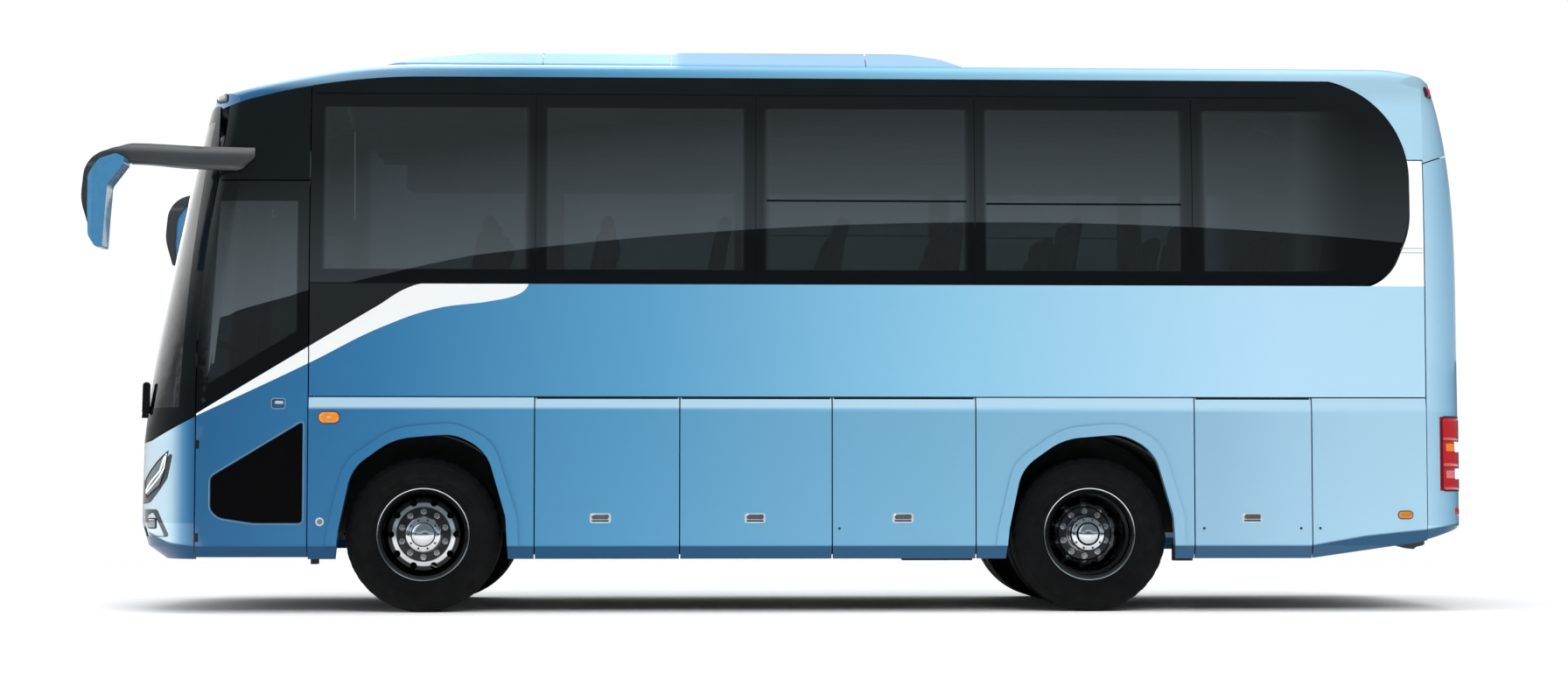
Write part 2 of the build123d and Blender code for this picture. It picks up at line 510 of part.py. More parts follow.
door_arm = rod_z(ARM_Z[0] - 70, ARM_Z[1] + 110, SHAFT_X, SHAFT_Y, SHAFT_R)
pillar_brackets = []
passenger_leaf = door_leaf
for z, bracket_z in zip(ARM_Z, (ARM_Z[0] - 45, ARM_Z[1] + 60)):
    door_arm += bar((SHAFT_X, SHAFT_Y), ELBOW, ARM_HALF, z, z + ARM_T)
    door_arm += bar(ELBOW, (LUG_X, LUG_Y), ARM_HALF, z, z + ARM_T)
    door_arm += rod_z(z, z + ARM_T, LUG_X, LUG_Y, 20)
    door_arm -= rod_z(z - 1, z + ARM_T + 1, LUG_X, LUG_Y, LUG_R + ROD_FIT)
    plate_z = z + ARM_T + 2
    passenger_leaf += block(LUG_X - 20, LUG_X + 20, LUG_Y - 20, WALL_IN, plate_z, plate_z + PLATE_T)
    passenger_leaf += rod_z(z + 2, z + ARM_T + 4, LUG_X, LUG_Y, LUG_R)
    plan = polygon((-1480, 1095), (-1480, 1300), (DOOR_EDGE_X - 2, 1300), (DOOR_EDGE_X - 2, 1160),
                   (-1328, 1154), (-1328, 1095))
    bracket = extrude(Pos(0, 0, bracket_z) * plan, PLATE_T) & NOSE_IN
    bracket -= rod_z(bracket_z - 1, bracket_z + PLATE_T + 1, SHAFT_X, SHAFT_Y, SHAFT_R + ROD_FIT)
    pillar_brackets.append(bracket)
put("passenger_door", passenger_leaf)
put("passenger_door_glass", pane)
put("door_arm", door_arm)

# ---- rear ----------------------------------------------------------------------------------------
TAIL_SHELL = TAIL_OUT - TAIL_IN
PAST_TAIL_X = REAR_X + 136.0
behind_cap = block(REAR_CAP_X + PANEL_GAP / 2, PAST_TAIL_X, -1400, 1400, 200, 3700)
cap = (TAIL_SHELL & behind_cap) - under_tail - ROOF_ZONE


def above_seam(gap):
    """Everything above the seam between the tail and the rear dome, raised by gap."""
    (x0, z0), (x1, z1) = SEAM_LINE
    return along_y(polygon((x0, z0 + gap), (x1, z1 + gap), (x1, 3800), (x0, 3800)), -1400, 1400)


dome_sketch = side_sketch(0, WALL, QUARTER_TOP_Z + PANEL_GAP, BAND_TOP_Z)
dome_side = along_x(dome_sketch, QUARTER_X, REAR_CAP_X + PANEL_GAP / 2)
dome_side = dome_side - quarter_cut - CANT_CUT
dome = (TAIL_SHELL & behind_cap & above_seam(PANEL_GAP)) - ROOF_ZONE
for shape in both(dome_side):
    dome += shape
put("rear_dome", dome)

LID = (-820.0, 820.0, 600.0, 1380.0)  # engine lid: sides, bottom, top
REAR_GLASS = (-930.0, 930.0, 2080.0, 2860.0)
TAIL_LAMP = (975.0, 1300.0, 760.0, 1230.0)  # inner side, outer side, bottom, top
TAIL_LAMP_X = REAR_X - 234.0
REAR_CUT_X = REAR_X - 304.0  # openings in the tail are cut from here


def rear_view(y0, y1, z0, z1, shrink, corner_r):
    """Front-view rounded rectangle carried right through the tail."""
    outline = RectangleRounded(y1 - y0 - 2 * shrink, z1 - z0 - 2 * shrink, corner_r)
    return along_x(Pos((y0 + y1) / 2, (z0 + z1) / 2) * outline, REAR_CUT_X, PAST_TAIL_X)


lid_cut = rear_view(*LID, 0, 40)
lid = TAIL_SHELL & rear_view(*LID, FLAP_GAP / 2, 36)
LOUVRE_Z = [760.0 + 62 * k for k in range(6)]  # cooling slots of the lid, in two columns
LOUVRE_Y, LOUVRE_LENGTH, LOUVRE_HEIGHT = 330.0, 520.0, 22.0
for z in LOUVRE_Z:
    for y in (-LOUVRE_Y, LOUVRE_Y):
        y0, y1 = y - LOUVRE_LENGTH / 2, y + LOUVRE_LENGTH / 2
        lid -= block(REAR_CUT_X, PAST_TAIL_X, y0, y1, z, z + LOUVRE_HEIGHT)
tail_lamp_cut = block(TAIL_LAMP_X, PAST_TAIL_X, *TAIL_LAMP)
rear_pane = (TAIL_OUT - TAIL_GLASS) & rear_view(*REAR_GLASS, 0, 60)
cap_low = cap - above_seam(0) - lid_cut - rear_pane - rear_view(*REAR_GLASS, 60, 40)
for cut in both(tail_lamp_cut):
    cap_low -= cut
put("rear_cap", cap_low)
put("rear_window", rear_pane)
put("tail_lamps", *both((TAIL_SHELL & tail_lamp_cut) - under_tail))

LID_AXIS_X, LID_AXIS_Z = REAR_X - 8, LID[3] - FLAP_GAP / 2 - 7
LID_RODS = [(120.0, 260.0), (-260.0, -120.0)]
for y0, y1 in LID_RODS:
    lid -= rod_y(y0 - 5, y1 + 5, LID_AXIS_X, LID_AXIS_Z, ROD_R + ROD_FIT)
    lid -= block(LID_AXIS_X - ROD_R / 2, PAST_TAIL_X, y0 - 5, y1 + 5, LID_AXIS_Z - ROD_R / 2, 1400)
    hinge_parts.append(rod_y(y0, y1, LID_AXIS_X, LID_AXIS_Z, ROD_R)
                       + block(LID_AXIS_X - WEB_T / 2, LID_AXIS_X + WEB_T / 2, y0, y1, LID_AXIS_Z, LID[3]))
put("engine_lid", lid)

# ---- cabin floor, hold, wheelhouses --------------------------------------------------------------
DECK_Z, DECK_T = 1360.0, 60.0
DECK_FRONT_X, DECK_REAR_X = -480.0, REAR_X - 414.0
PLATFORM_Z, PLATFORM_T = 950.0, 50.0
SHEET = 12.0
DOOR_CLEAR = 10.0
HOLD_Z, HOLD_T = 460.0, 40.0
BULKHEAD_T = 30.0
deck = block(DECK_FRONT_X, DECK_REAR_X, -WALL_IN, WALL_IN, DECK_Z - DECK_T, DECK_Z)
front_half = WALL_IN - DOOR_CLEAR
riser = block(DECK_FRONT_X - SHEET, DECK_FRONT_X, -front_half, front_half, PLATFORM_Z - 35, DECK_Z)
platform = block(-1900, DECK_FRONT_X - SHEET, -front_half, front_half, PLATFORM_Z - PLATFORM_T, PLATFORM_Z)
platform &= NOSE_IN + BEHIND_NOSE
WELL = (-1400.0, -744.0, 340.0)  # step well: front, rear, inner side
platform -= block(WELL[0], WELL[1], WELL[2], 1300, 800, 1000)
TREADS = [(1180.0, 440.0), (900.0, 620.0), (620.0, 790.0)]  # outer edge, height of each tread
TREAD_T = 30.0
line = []
for (y, z), (inner, above) in zip(TREADS, TREADS[1:] + [(WELL[2], PLATFORM_Z)]):
    line += [(y, z), (inner, z)]
line.append((WELL[2], PLATFORM_Z))
back = [(WELL[2] - TREAD_T, PLATFORM_Z - PLATFORM_T), (WELL[2] - TREAD_T, TREADS[2][1] - TREAD_T),
        (TREADS[2][0] - TREAD_T, TREADS[2][1] - TREAD_T), (TREADS[2][0] - TREAD_T, TREADS[1][1] - TREAD_T),
        (TREADS[1][0] - TREAD_T, TREADS[1][1] - TREAD_T), (TREADS[1][0] - TREAD_T, TREADS[0][1] - TREAD_T),
        (TREADS[0][0], TREADS[0][1] - TREAD_T)]
stairs = along_x(polygon(*line, (WELL[2], PLATFORM_Z - PLATFORM_T), *back), WELL[0], WELL[1])
aisle_step = block(-740, DECK_FRONT_X - SHEET, -200, 330, PLATFORM_Z, (PLATFORM_Z + DECK_Z) / 2)
put("cabin_floors", deck, riser, platform, stairs, aisle_step)

hold_x0, hold_x1 = BAY_X[0] + 2, BAY_X[3] - 2
hold_floor = block(hold_x0 + BULKHEAD_T, hold_x1 - BULKHEAD_T, -WALL_IN, WALL_IN, HOLD_Z - HOLD_T, HOLD_Z)
bulkheads = [block(x, x + BULKHEAD_T, -WALL_IN, WALL_IN, HOLD_Z - HOLD_T, DECK_Z - DECK_T)
             for x in (hold_x0, hold_x1 - BULKHEAD_T)]
put("luggage_hold", hold_floor, *bulkheads)

HOUSE_R = 625.0
FRONT_HOUSE_Y, REAR_HOUSE_Y = 560.0, 652.0


def wheelhouse(axle_x, y_in, wall_x0):
    """Half-round sheet over a wheel with its inner wall, which runs up to the cabin floor."""
    ring = Plane(origin=(axle_x, SKIRT_IN, TYRE_R), x_dir=(1, 0, 0), z_dir=(0, -1, 0))
    disc = extrude(ring * Circle(HOUSE_R + SHEET), SKIRT_IN - y_in + SHEET)
    disc -= extrude(ring * Circle(HOUSE_R), SKIRT_IN - y_in)
    wall = block(axle_x + wall_x0, axle_x + HOUSE_R, y_in - SHEET, y_in, TYRE_R + 200, DECK_Z - DECK_T)
    house = disc + wall - block(axle_x - 900, axle_x + 900, 0, 1300, -300, TYRE_R)
    return house - block(axle_x - 110, axle_x + 110, 0, y_in + 5, 300, TYRE_R + 120)


front_house = wheelhouse(0, FRONT_HOUSE_Y, -470)
rear_house = wheelhouse(WHEELBASE, REAR_HOUSE_Y, -HOUSE_R)
put("wheelhouses", *both(front_house), *both(rear_house))

# ---- chassis, axles, engine ----------------------------------------------------------------------
RAIL_Y0, RAIL_Y1, RAIL_Z0, RAIL_Z1 = 400.0, 460.0, 600.0, 750.0
front_rail = block(-1900, hold_x0, RAIL_Y0, RAIL_Y1, RAIL_Z0, RAIL_Z1) & (NOSE_IN + BEHIND_NOSE)
REAR_BEAM_X = [REAR_X - 264.0, REAR_X - 204.0]
FRONT_BEAM_X = [-1560.0, -1480.0]
rear_rail = block(hold_x1, REAR_BEAM_X[0], RAIL_Y0, RAIL_Y1, RAIL_Z0, RAIL_Z1)
front_beam = block(*FRONT_BEAM_X, -RAIL_Y0, RAIL_Y0, RAIL_Z0, RAIL_Z1)
rear_beam = block(*REAR_BEAM_X, -1300, 1300, RAIL_Z0, RAIL_Z1 - 20) & TAIL_IN
frames = [front_rail, mirror(front_rail, about=Plane.XZ), rear_rail, mirror(rear_rail, about=Plane.XZ)]
TOW_R, TOW_EYE_R, TOW_T = 22.0, 45.0, 30.0
TOW_REACH = 60.0  # from the beam's face to the bore
for beam, face_x, eye_x in ((front_beam, FRONT_BEAM_X[0], FRONT_BEAM_X[0] - TOW_REACH),
                            (rear_beam, REAR_BEAM_X[1], REAR_BEAM_X[1] + TOW_REACH)):
    beam += block(min(face_x, eye_x), max(face_x, eye_x), -TOW_EYE_R, TOW_EYE_R, RAIL_Z0, RAIL_Z0 + TOW_T)
    beam += rod_z(RAIL_Z0, RAIL_Z0 + TOW_T, eye_x, 0, TOW_EYE_R)
    beam -= rod_z(RAIL_Z0 - 10, RAIL_Z0 + TOW_T + 10, eye_x, 0, TOW_R)
    frames.append(beam)
OUTRIGGER_X = REAR_X - 764.0
frames += both(block(OUTRIGGER_X, OUTRIGGER_X + 60, RAIL_Y1, SKIRT_IN, RAIL_Z0 + 20, RAIL_Z1 - 20))
put("chassis_frame", *frames)

KINGPIN_R = 18.0
EYE_R = 45.0
BEAM_HALF = 45.0
half_beam = [(960, 540), (960, 435), (760, 435), (620, 345)]  # right-hand end, top to bottom
half_beam = [(640, 440), (800, 540), *half_beam]
beam_line = [*half_beam, *[(-y, z) for y, z in reversed(half_beam)]]
front_axle = along_x(polygon(*beam_line), -BEAM_HALF, BEAM_HALF)
for side in (-1, 1):
    front_axle += rod_z(435, 540, 0, side * KINGPIN_Y, EYE_R)
for side in (-1, 1):
    front_axle -= rod_z(400, 600, 0, side * KINGPIN_Y, KINGPIN_R + ROD_FIT)
put("front_axle", front_axle)

WHEEL_Y = TYRE_FACE_Y - TYRE_W / 2
SPINDLE_R = 40.0
ARM_PIN_X, ARM_PIN_R = 150.0, 12.0
TRACK_Z = 352.0
knuckle = rod_z(542, 590, 0, KINGPIN_Y, EYE_R - 3) + rod_z(385, 433, 0, KINGPIN_Y, EYE_R - 3)
for y0, z0, z1 in ((KINGPIN_Y, 542, 590), (KINGPIN_Y, 385, 433), (KINGPIN_Y + 52, 385, 590)):
    knuckle += block(-42, 42, y0, WHEEL_Y - 10, z0, z1)
knuckle += rod_z(385, 590, 0, KINGPIN_Y, KINGPIN_R)
knuckle += rod_y(WHEEL_Y - 12, WHEEL_Y + 60, 0, TYRE_R, SPINDLE_R)
knuckle += block(0, ARM_PIN_X + 22, KINGPIN_Y - 20, KINGPIN_Y + 20, 385, 415)
knuckle += rod_z(TRACK_Z - 22, 390, ARM_PIN_X, KINGPIN_Y, ARM_PIN_R)
right_knuckle, left_knuckle = both(knuckle)
put("knuckle_right", right_knuckle)
put("knuckle_left", left_knuckle)
track = rod_y(-KINGPIN_Y, KINGPIN_Y, ARM_PIN_X, TRACK_Z, 14)
for side in (-1, 1):
    track += rod_z(TRACK_Z - 18, TRACK_Z + 18, ARM_PIN_X, side * KINGPIN_Y, 24)
for side in (-1, 1):
    track -= rod_z(TRACK_Z - 40, TRACK_Z + 40, ARM_PIN_X, side * KINGPIN_Y, ARM_PIN_R + ROD_FIT)
put("track_rod", track)

AXLE_TUBE_R, HUB_SPINDLE_R = 75.0, 60.0
REAR_HUB_OUT = 1080.0
rear_axle = rod_y(-740, 740, WHEELBASE, TYRE_R, AXLE_TUBE_R)
rear_axle += rod_y(-REAR_HUB_OUT, REAR_HUB_OUT, WHEELBASE, TYRE_R, HUB_SPINDLE_R)
rear_axle += Pos(WHEELBASE, 0, TYRE_R) * Sphere(200)
for side in (-1, 1):
    rear_axle += block(WHEELBASE - 420, WHEELBASE + 420, side * 430 - 30, side * 430 + 30, 400, 450)
put("rear_axle", rear_axle)
SPRING_R = 95.0
springs = [rod_z(440, RAIL_Z0, 0, side * 430, SPRING_R) for side in (-1, 1)]
springs += [rod_z(450, RAIL_Z0, WHEELBASE + dx, side * 430, SPRING_R)
            for side in (-1, 1) for dx in (-320, 320)]
put("air_springs", *springs)
ENGINE_LENGTH = 1100.0
put("engine", block(DECK_REAR_X - ENGINE_LENGTH, DECK_REAR_X, -RAIL_Y0, RAIL_Y0, 540, 1180))

# ---- wheels --------------------------------------------------------------------------------------
RIM_FLANGE_R = 292.0
barrel_line = [(292, 97), (292, 90), (272, 86), (268, 45), (246, 25), (246, -50), (268, -70), (272, -86),
               (292, -90), (292, -97), (262, -97), (260, -66), (238, -52), (238, 30), (258, 52), (262, 97)]
front_disc_line = [(240, 28), (225, 45), (170, 58), (110, 58), (108, 92), (60, 110), (0, 112), (0, 66),
                   (SPINDLE_R + ROD_FIT, 66), (SPINDLE_R + ROD_FIT, -5), (75, -5), (75, 40), (170, 44),
                   (220, 30), (240, 12)]
twin_disc_line = [(240, -30), (222, -60), (190, -112), (165, -126), (112, -126), (112, -140), (175, -140),
                  (206, -124), (240, -68)]
hub_line = [(HUB_SPINDLE_R + ROD_FIT, -255), (HUB_SPINDLE_R + ROD_FIT, 20), (0, 20), (0, 40), (85, 34),
            (112, 20), (112, -255)]
HAND_HOLES = 10
FRONT_HOLE_AT, FRONT_HOLE_R = 206.0, 22.0
REAR_HOLE_AT, REAR_HOLE_R = 204.0, 18.0


def turned(line, axle_x, y, sense=1):
    """A section of (radius, distance outwards) points turned about the wheel's axis."""
    points = [(axle_x + r, y + sense * w) for r, w in line]
    sketch = Plane(origin=(0, 0, TYRE_R), x_dir=(1, 0, 0), z_dir=(0, 0, 1)) * polygon(*points)
    return revolve(sketch, Axis((axle_x, 0, TYRE_R), (0, 1, 0)), 360)


def tyre(axle_x, y):
    line = [(RIM_FLANGE_R + ROD_FIT, 112), (440, 120), (TYRE_R, 92), (TYRE_R, -92), (440, -120),
            (RIM_FLANGE_R + ROD_FIT, -112)]
    return turned(line, axle_x, y)


def hand_holes(shape, axle_x, y, radius, hole_r):
    for k in range(HAND_HOLES):
        a = 2 * math.pi * k / HAND_HOLES
        x, z = axle_x + radius * math.cos(a), TYRE_R + radius * math.sin(a)
        shape -= rod_y(y - 160, y + 90, x, z, hole_r)
    return shape


front_rim = turned(barrel_line, 0, WHEEL_Y) + turned(front_disc_line, 0, WHEEL_Y)
front_rim = hand_holes(front_rim, 0, WHEEL_Y, FRONT_HOLE_AT, FRONT_HOLE_R)
outer_rim = turned(barrel_line, WHEELBASE, WHEEL_Y) + turned(twin_disc_line, WHEELBASE, WHEEL_Y)
outer_rim = hand_holes(outer_rim, WHEELBASE, WHEEL_Y, REAR_HOLE_AT, REAR_HOLE_R)
outer_rim += turned(hub_line, WHEELBASE, WHEEL_Y)
inner_line = [(112.4, -126), (112.4, -140)] + twin_disc_line[6:] + twin_disc_line[:4]
inner_rim = turned(barrel_line, WHEELBASE, WHEEL_Y - TWIN_PITCH, -1)
inner_rim += turned(inner_line, WHEELBASE, WHEEL_Y - TWIN_PITCH, -1)
for name, shapes in (("front_tyre", [tyre(0, WHEEL_Y)]), ("front_rim", [front_rim]),
                     ("rear_tyres", [tyre(WHEELBASE, WHEEL_Y), tyre(WHEELBASE, WHEEL_Y - TWIN_PITCH)]),
                     ("rear_rims", [outer_rim, inner_rim])):
    put(f"{name}_right", *shapes)
    put(f"{name}_left", *[mirror(s, about=Plane.XZ) for s in shapes])

# ---- inside --------------------------------------------------------------------------------------
DRIVER_Y = -640.0
dash_line = [(-1900, PLATFORM_Z), (-1600, PLATFORM_Z), (-1540, 1230), (-1350, 1290), (-1320, 1420),
             (-1420, 1500), (-1900, 1440)]
dash = along_y(polygon(*dash_line), -1120, 320) & NOSE_IN
TILT = 25.0
WHEEL_HUB = (-1190.0, DRIVER_Y, 1620.0)
HUB_LOW = -30.0  # underside of the wheel's hub, along the column
column = Pos(*WHEEL_HUB) * Rot(0, TILT, 0) * Pos(0, 0, HUB_LOW - FIT - 168) * Cylinder(24, 336)
put("dashboard", dash + column)
RING_R = 225.0
spoke_length = 2 * RING_R - 10
wheel = Pos(0, 0, 10) * Torus(RING_R, 15) + Pos(0, 0, -5) * Cylinder(55, 50)
wheel += Box(spoke_length, 36, 14) + Box(36, spoke_length, 14)
put("steering_wheel", Pos(*WHEEL_HUB) * Rot(0, TILT, 0) * wheel)


def seat(x, y0, y1, z0):
    """One bench or seat: cushion and back in one outline, on its pedestal."""
    line = [(-250, 370), (-262, 470), (175, 440), (290, 1150), (390, 1165), (330, 380)]
    outline = rounded([(x + dx, z0 + dz) for dx, dz in line], [30, 35, 45, 40, 40, 60])
    body = along_y(outline, y0, y1)
    middle = (y0 + y1) / 2
    return body + block(x - 90, x + 150, middle - 90, middle + 90, z0, z0 + 400)


seats = [seat(-955, DRIVER_Y - 240, DRIVER_Y + 240, PLATFORM_Z)]
for k in range(8):
    seats += both(seat(60 + 750 * k, 255, 1150, DECK_Z))
seats.append(seat(REAR_X - 624, -1130, 1130, DECK_Z))
put("seats", *seats)
RACK_X = [-300.0, REAR_X - 764.0]
RACK_INNER_Y = 760.0
rack = along_x(side_sketch(WALL, HALF_WIDTH - RACK_INNER_Y, 2880, 2925), *RACK_X)
RACK_NOSE = [(30, 2862), (-20, 2858), (-42, 2930), (-12, 3060), (14, 3056), (2, 2940)]  # y from the edge, z
RACK_NOSE_RADII = [8, 30, 30, 10, 10, 20]
rack += along_x(rounded([(RACK_INNER_Y + y, z) for y, z in RACK_NOSE], RACK_NOSE_RADII), *RACK_X)
put("luggage_racks", *both(rack))

# ---- mirrors, wipers -----------------------------------------------------------------------------
TIP_ROUND = 3.3  # what rounding takes off the arm's foremost corner
ARM_LINE = [  # side view of the mirror arm: x, z, corner radius
    (-1061, 2908, 1), (-1800, 2914, 200), (-2070, 2830, 180), (MIRROR_TIP_X - TIP_ROUND, 2560, 300),
    (-2040, 2372, 12), (-2012, 2372, 12), (-2026, 2520, 200), (-2015, 2715, 120), (-1925, 2828, 60),
    (-1835, 2828, 22), (-1803, 2788, 20), (-1640, 2784, 300), (-1150, 2766, 60), (-1061, 2850, 1)]
arm_side = rounded([(x, z) for x, z, _ in ARM_LINE], [r for *_, r in ARM_LINE])
arm_plan = polygon((-1061, 1200), (-1500, 1200), (-1700, 1330), (-2100, 1390), (-2100, 1450), (-1680, 1400),
                   (-1400, 1290), (-1061, 1244))
arm = along_y(arm_side, 1100, 1500) & extrude(Pos(0, 0, 2300) * arm_plan, 700)
arm -= NOSE_OUT + BEHIND_NOSE
put("mirror_arms", *both(arm))
HEAD_LINE = [  # side view of the mirror head: x, z, corner radius
    (-2028, 2700, 60), (-1960, 2800, 60), (-1860, 2834, 40), (-1808, 2812, 16), (-1812, 2772, 30),
    (-1908, 2640, 60), (-1922, 2450, 200), (-1934, 2252, 12), (-1978, 2258, 30), (-2024, 2330, 60),
    (-2030, 2520, 300)]
head_side = rounded([(x, z) for x, z, _ in HEAD_LINE], [r for *_, r in HEAD_LINE])
head_plan = polygon((-2040, 1395), (-1780, 1360), (-1780, 1560), (-2000, 1580), (-2040, 1560))
head = along_y(head_side, 1300, 1600) & extrude(Pos(0, 0, 2200) * head_plan, 700)
put("mirror_heads", *both(head - arm))

blade_zone = nose(-38) - nose(-14)
blades = []
for y0, y1 in ((-760.0, -60.0), (60.0, 760.0)):
    blade = blade_zone & along_x(polygon((y0, 1250), (y0, 1280), (y1, 1420), (y1, 1390)), -2100, -1700)
    foot = (nose(-38) - NOSE_OUT) & block(-2100, -1700, y0, y0 + 40, 1225, 1284)
    blades.append(blade + foot)
put("wipers", *blades)

hinge_parts += pillar_brackets
put("hinge_rods", *hinge_parts)

for name, shape in PARTS.items():
    export_step(shape, f"parts/{name}.step")
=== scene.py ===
"""Coach bus: finish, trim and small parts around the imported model.

Metres, in the model's own frame: +X rearwards, +Y to the vehicle's right, +Z up, the floor at Z = 0.
Stations along the vehicle are written from the front axle, as on a body drawing, and at() places them.
"""

import math

import bmesh
import bpy
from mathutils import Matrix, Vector
from mathutils.bvhtree import BVHTree
from mathutils.geometry import delaunay_2d_cdt


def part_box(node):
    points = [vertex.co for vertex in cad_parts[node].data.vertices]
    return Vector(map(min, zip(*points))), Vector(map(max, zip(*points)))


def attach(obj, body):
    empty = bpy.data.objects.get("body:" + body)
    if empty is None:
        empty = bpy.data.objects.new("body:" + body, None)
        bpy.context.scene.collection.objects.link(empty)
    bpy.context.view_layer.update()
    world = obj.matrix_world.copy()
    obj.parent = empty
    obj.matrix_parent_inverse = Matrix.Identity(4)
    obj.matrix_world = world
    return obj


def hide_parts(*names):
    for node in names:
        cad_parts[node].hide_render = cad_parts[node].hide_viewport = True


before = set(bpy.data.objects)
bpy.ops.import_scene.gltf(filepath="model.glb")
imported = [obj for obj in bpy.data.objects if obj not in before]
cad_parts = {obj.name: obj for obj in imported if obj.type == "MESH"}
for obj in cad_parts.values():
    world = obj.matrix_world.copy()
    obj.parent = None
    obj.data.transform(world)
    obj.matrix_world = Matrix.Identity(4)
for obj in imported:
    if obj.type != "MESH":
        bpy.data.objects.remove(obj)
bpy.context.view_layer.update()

# ---- stations and sizes, from the front axle ----
TYRE_LOW, TYRE_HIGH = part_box("front_tyre_left")
REAR_LOW, REAR_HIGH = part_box("rear_tyres_left")
AXLE_X = (TYRE_LOW.x + TYRE_HIGH.x) / 2  # the front axle in the model's frame
WHEELBASE = (REAR_LOW.x + REAR_HIGH.x) / 2 - AXLE_X
TYRE_R = (TYRE_HIGH.z - TYRE_LOW.z) / 2
SKIN_Y = 1.240  # side skin
SILL_Z = 2.062  # lower edge of the glass band
TUMBLE_R = 14.4  # the side leans in on this radius above the sill
SIDES = (("left", -1), ("right", 1))
FLAPS = ("luggage_flap_1", "luggage_flap_2", "luggage_flap_3", "service_flap")
FLAP_NODES = [f"{flap}_{side}" for side, _ in SIDES for flap in FLAPS]


def at(x, y, z):
    """A point whose x is measured from the front axle."""
    return Vector((AXLE_X + x, y, z))


def skin_y(z):
    """Half width of the side skin at a height."""
    return SKIN_Y - TUMBLE_R + math.sqrt(TUMBLE_R ** 2 - max(0.0, z - SILL_Z) ** 2)


# ---- node materials ----
def rgb(red, green, blue):
    """A display colour of 0 to 255 as the linear colour that a shader takes."""
    def linear(value):
        value /= 255
        return value / 12.92 if value <= 0.04045 else ((value + 0.055) / 1.055) ** 2.4
    return (linear(red), linear(green), linear(blue), 1.0)


def grey(value):
    return (value, value, value, 1.0)


def toned(colour, share):
    """A colour made lighter or darker."""
    return tuple(min(1.0, part * share) for part in colour[:3]) + (1.0,)


class Graph:
    """A node tree in the making, and short ways to add to it."""

    def __init__(self, tree):
        self.tree = tree

    def feed(self, socket, value):
        if isinstance(value, bpy.types.NodeSocket):
            self.tree.links.new(value, socket)
        else:
            socket.default_value = value

    def node(self, kind, inputs=(), **settings):
        made = self.tree.nodes.new("ShaderNode" + kind)
        for key, value in settings.items():
            setattr(made, key, value)
        for key, value in dict(inputs).items():
            self.feed(made.inputs[key], value)
        return made

    def math(self, operation, *values, clamp=False):
        return self.node("Math", enumerate(values), operation=operation, use_clamp=clamp).outputs[0]

    def times(self, first, *others):
        for other in others:
            first = self.math("MULTIPLY", first, other)
        return first

    def plus(self, first, second, clamp=False):
        return self.math("ADD", first, second, clamp=clamp)

    def minus(self, first, second, clamp=False):
        return self.math("SUBTRACT", first, second, clamp=clamp)

    def between(self, value, low, high, first=0.0, last=1.0):
        """first up to low, last beyond high and a straight run from one to the other."""
        ends = {"From Min": low, "From Max": high, "To Min": first, "To Max": last}
        return self.node("MapRange", {"Value": value, **ends}).outputs["Result"]

    def mix(self, factor, first, second, blend="MIX"):
        made = self.node("Mix", {0: factor}, data_type="RGBA", blend_type=blend)
        self.feed(made.inputs[6], first)
        self.feed(made.inputs[7], second)
        return made.outputs[2]


MATERIALS = {}  # by the name asked for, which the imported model's own plain materials may have too


class Surface(Graph):
    """A node material in the making: its Principled shader, and short ways to drive it."""

    def __init__(self, name, **settings):
        self.material = MATERIALS[name] = bpy.data.materials.new(name)
        self.material.use_nodes = True
        super().__init__(self.material.node_tree)
        self.shader = next(node for node in self.tree.nodes if node.type == "BSDF_PRINCIPLED")
        for key, value in settings.items():
            self.shader.inputs[key.replace("_", " ")].default_value = value

    def place(self):
        """Where a point lies in the model's frame, unmoved by poses."""
        return self.node("TexCoord").outputs["Object"]

    def axes(self):
        return self.node("SeparateXYZ", {0: self.place()}).outputs

    def ramp(self, value, stops):
        made = self.node("ValToRGB", {0: value})
        elements = made.color_ramp.elements
        while len(elements) < len(stops):
            elements.new(0.5)
        for element, (position, colour) in zip(elements, stops):
            element.position = position
            element.color = colour
        return made.outputs[0]

    def curve(self, value, points):
        """A smooth curve through points of 0 to 1."""
        made = self.node("FloatCurve", {"Value": value})
        line = made.mapping.curves[0]
        line.points[0].location, line.points[1].location = points[0], points[-1]
        for point in points[1:-1]:
            line.points.new(*point)
        made.mapping.update()
        return made.outputs[0]

    def noise(self, scale, detail=4.0):
        inputs = {"Vector": self.place(), "Scale": scale, "Detail": detail, "Roughness": 0.6}
        return self.node("TexNoise", inputs).outputs[0]

    def patches(self, scale, low, high, detail=4.0):
        """Soft patches of one colour in another."""
        return self.ramp(self.noise(scale, detail), [(0.3, low), (0.7, high)])

    def bump(self, scale, strength, depth, detail=4.0):
        """The normal of a surface with a fine grain."""
        inputs = {"Height": self.noise(scale, detail), "Strength": strength, "Distance": depth}
        return self.node("Bump", inputs).outputs[0]

    def set(self, **inputs):
        for key, value in inputs.items():
            self.feed(self.shader.inputs[key.replace("_", " ")], value)


def worn(surface, colour, amount=0.12, scale=9.0):
    """A colour with faint large patches, as any real finish has."""
    return surface.patches(scale, toned(colour, 1.0 - amount), toned(colour, 1.0 + amount))


# the blue paint with a painted reflection of the studio: deep to pale along the body, station by station from the nose
# to the tail, with a painted highlight on the nose and painted shade where the tail turns away
PAINT_FROM, PAINT_TO = -1.90, 6.70
PAINT_AND_REFLECTION = [(-1.90, rgb(226, 242, 250)), (-1.58, rgb(196, 226, 243)), (-1.49, rgb(72, 140, 184)),
         (-1.42, rgb(28, 94, 142)), (-0.30, rgb(47, 121, 171)), (1.40, rgb(92, 164, 206)), (3.40, rgb(146, 206, 237)),
         (5.40, rgb(186, 228, 252)), (6.34, rgb(186, 228, 250)), (6.52, rgb(140, 192, 224)),
         (6.62, rgb(84, 148, 190)), (6.70, rgb(74, 138, 182))]
BLACK = rgb(13, 18, 21)
WHITE = rgb(250, 253, 253)
# pale blue of the painted highlights on the fold and the brow
HIGHLIGHT_PALE = rgb(190, 226, 247)
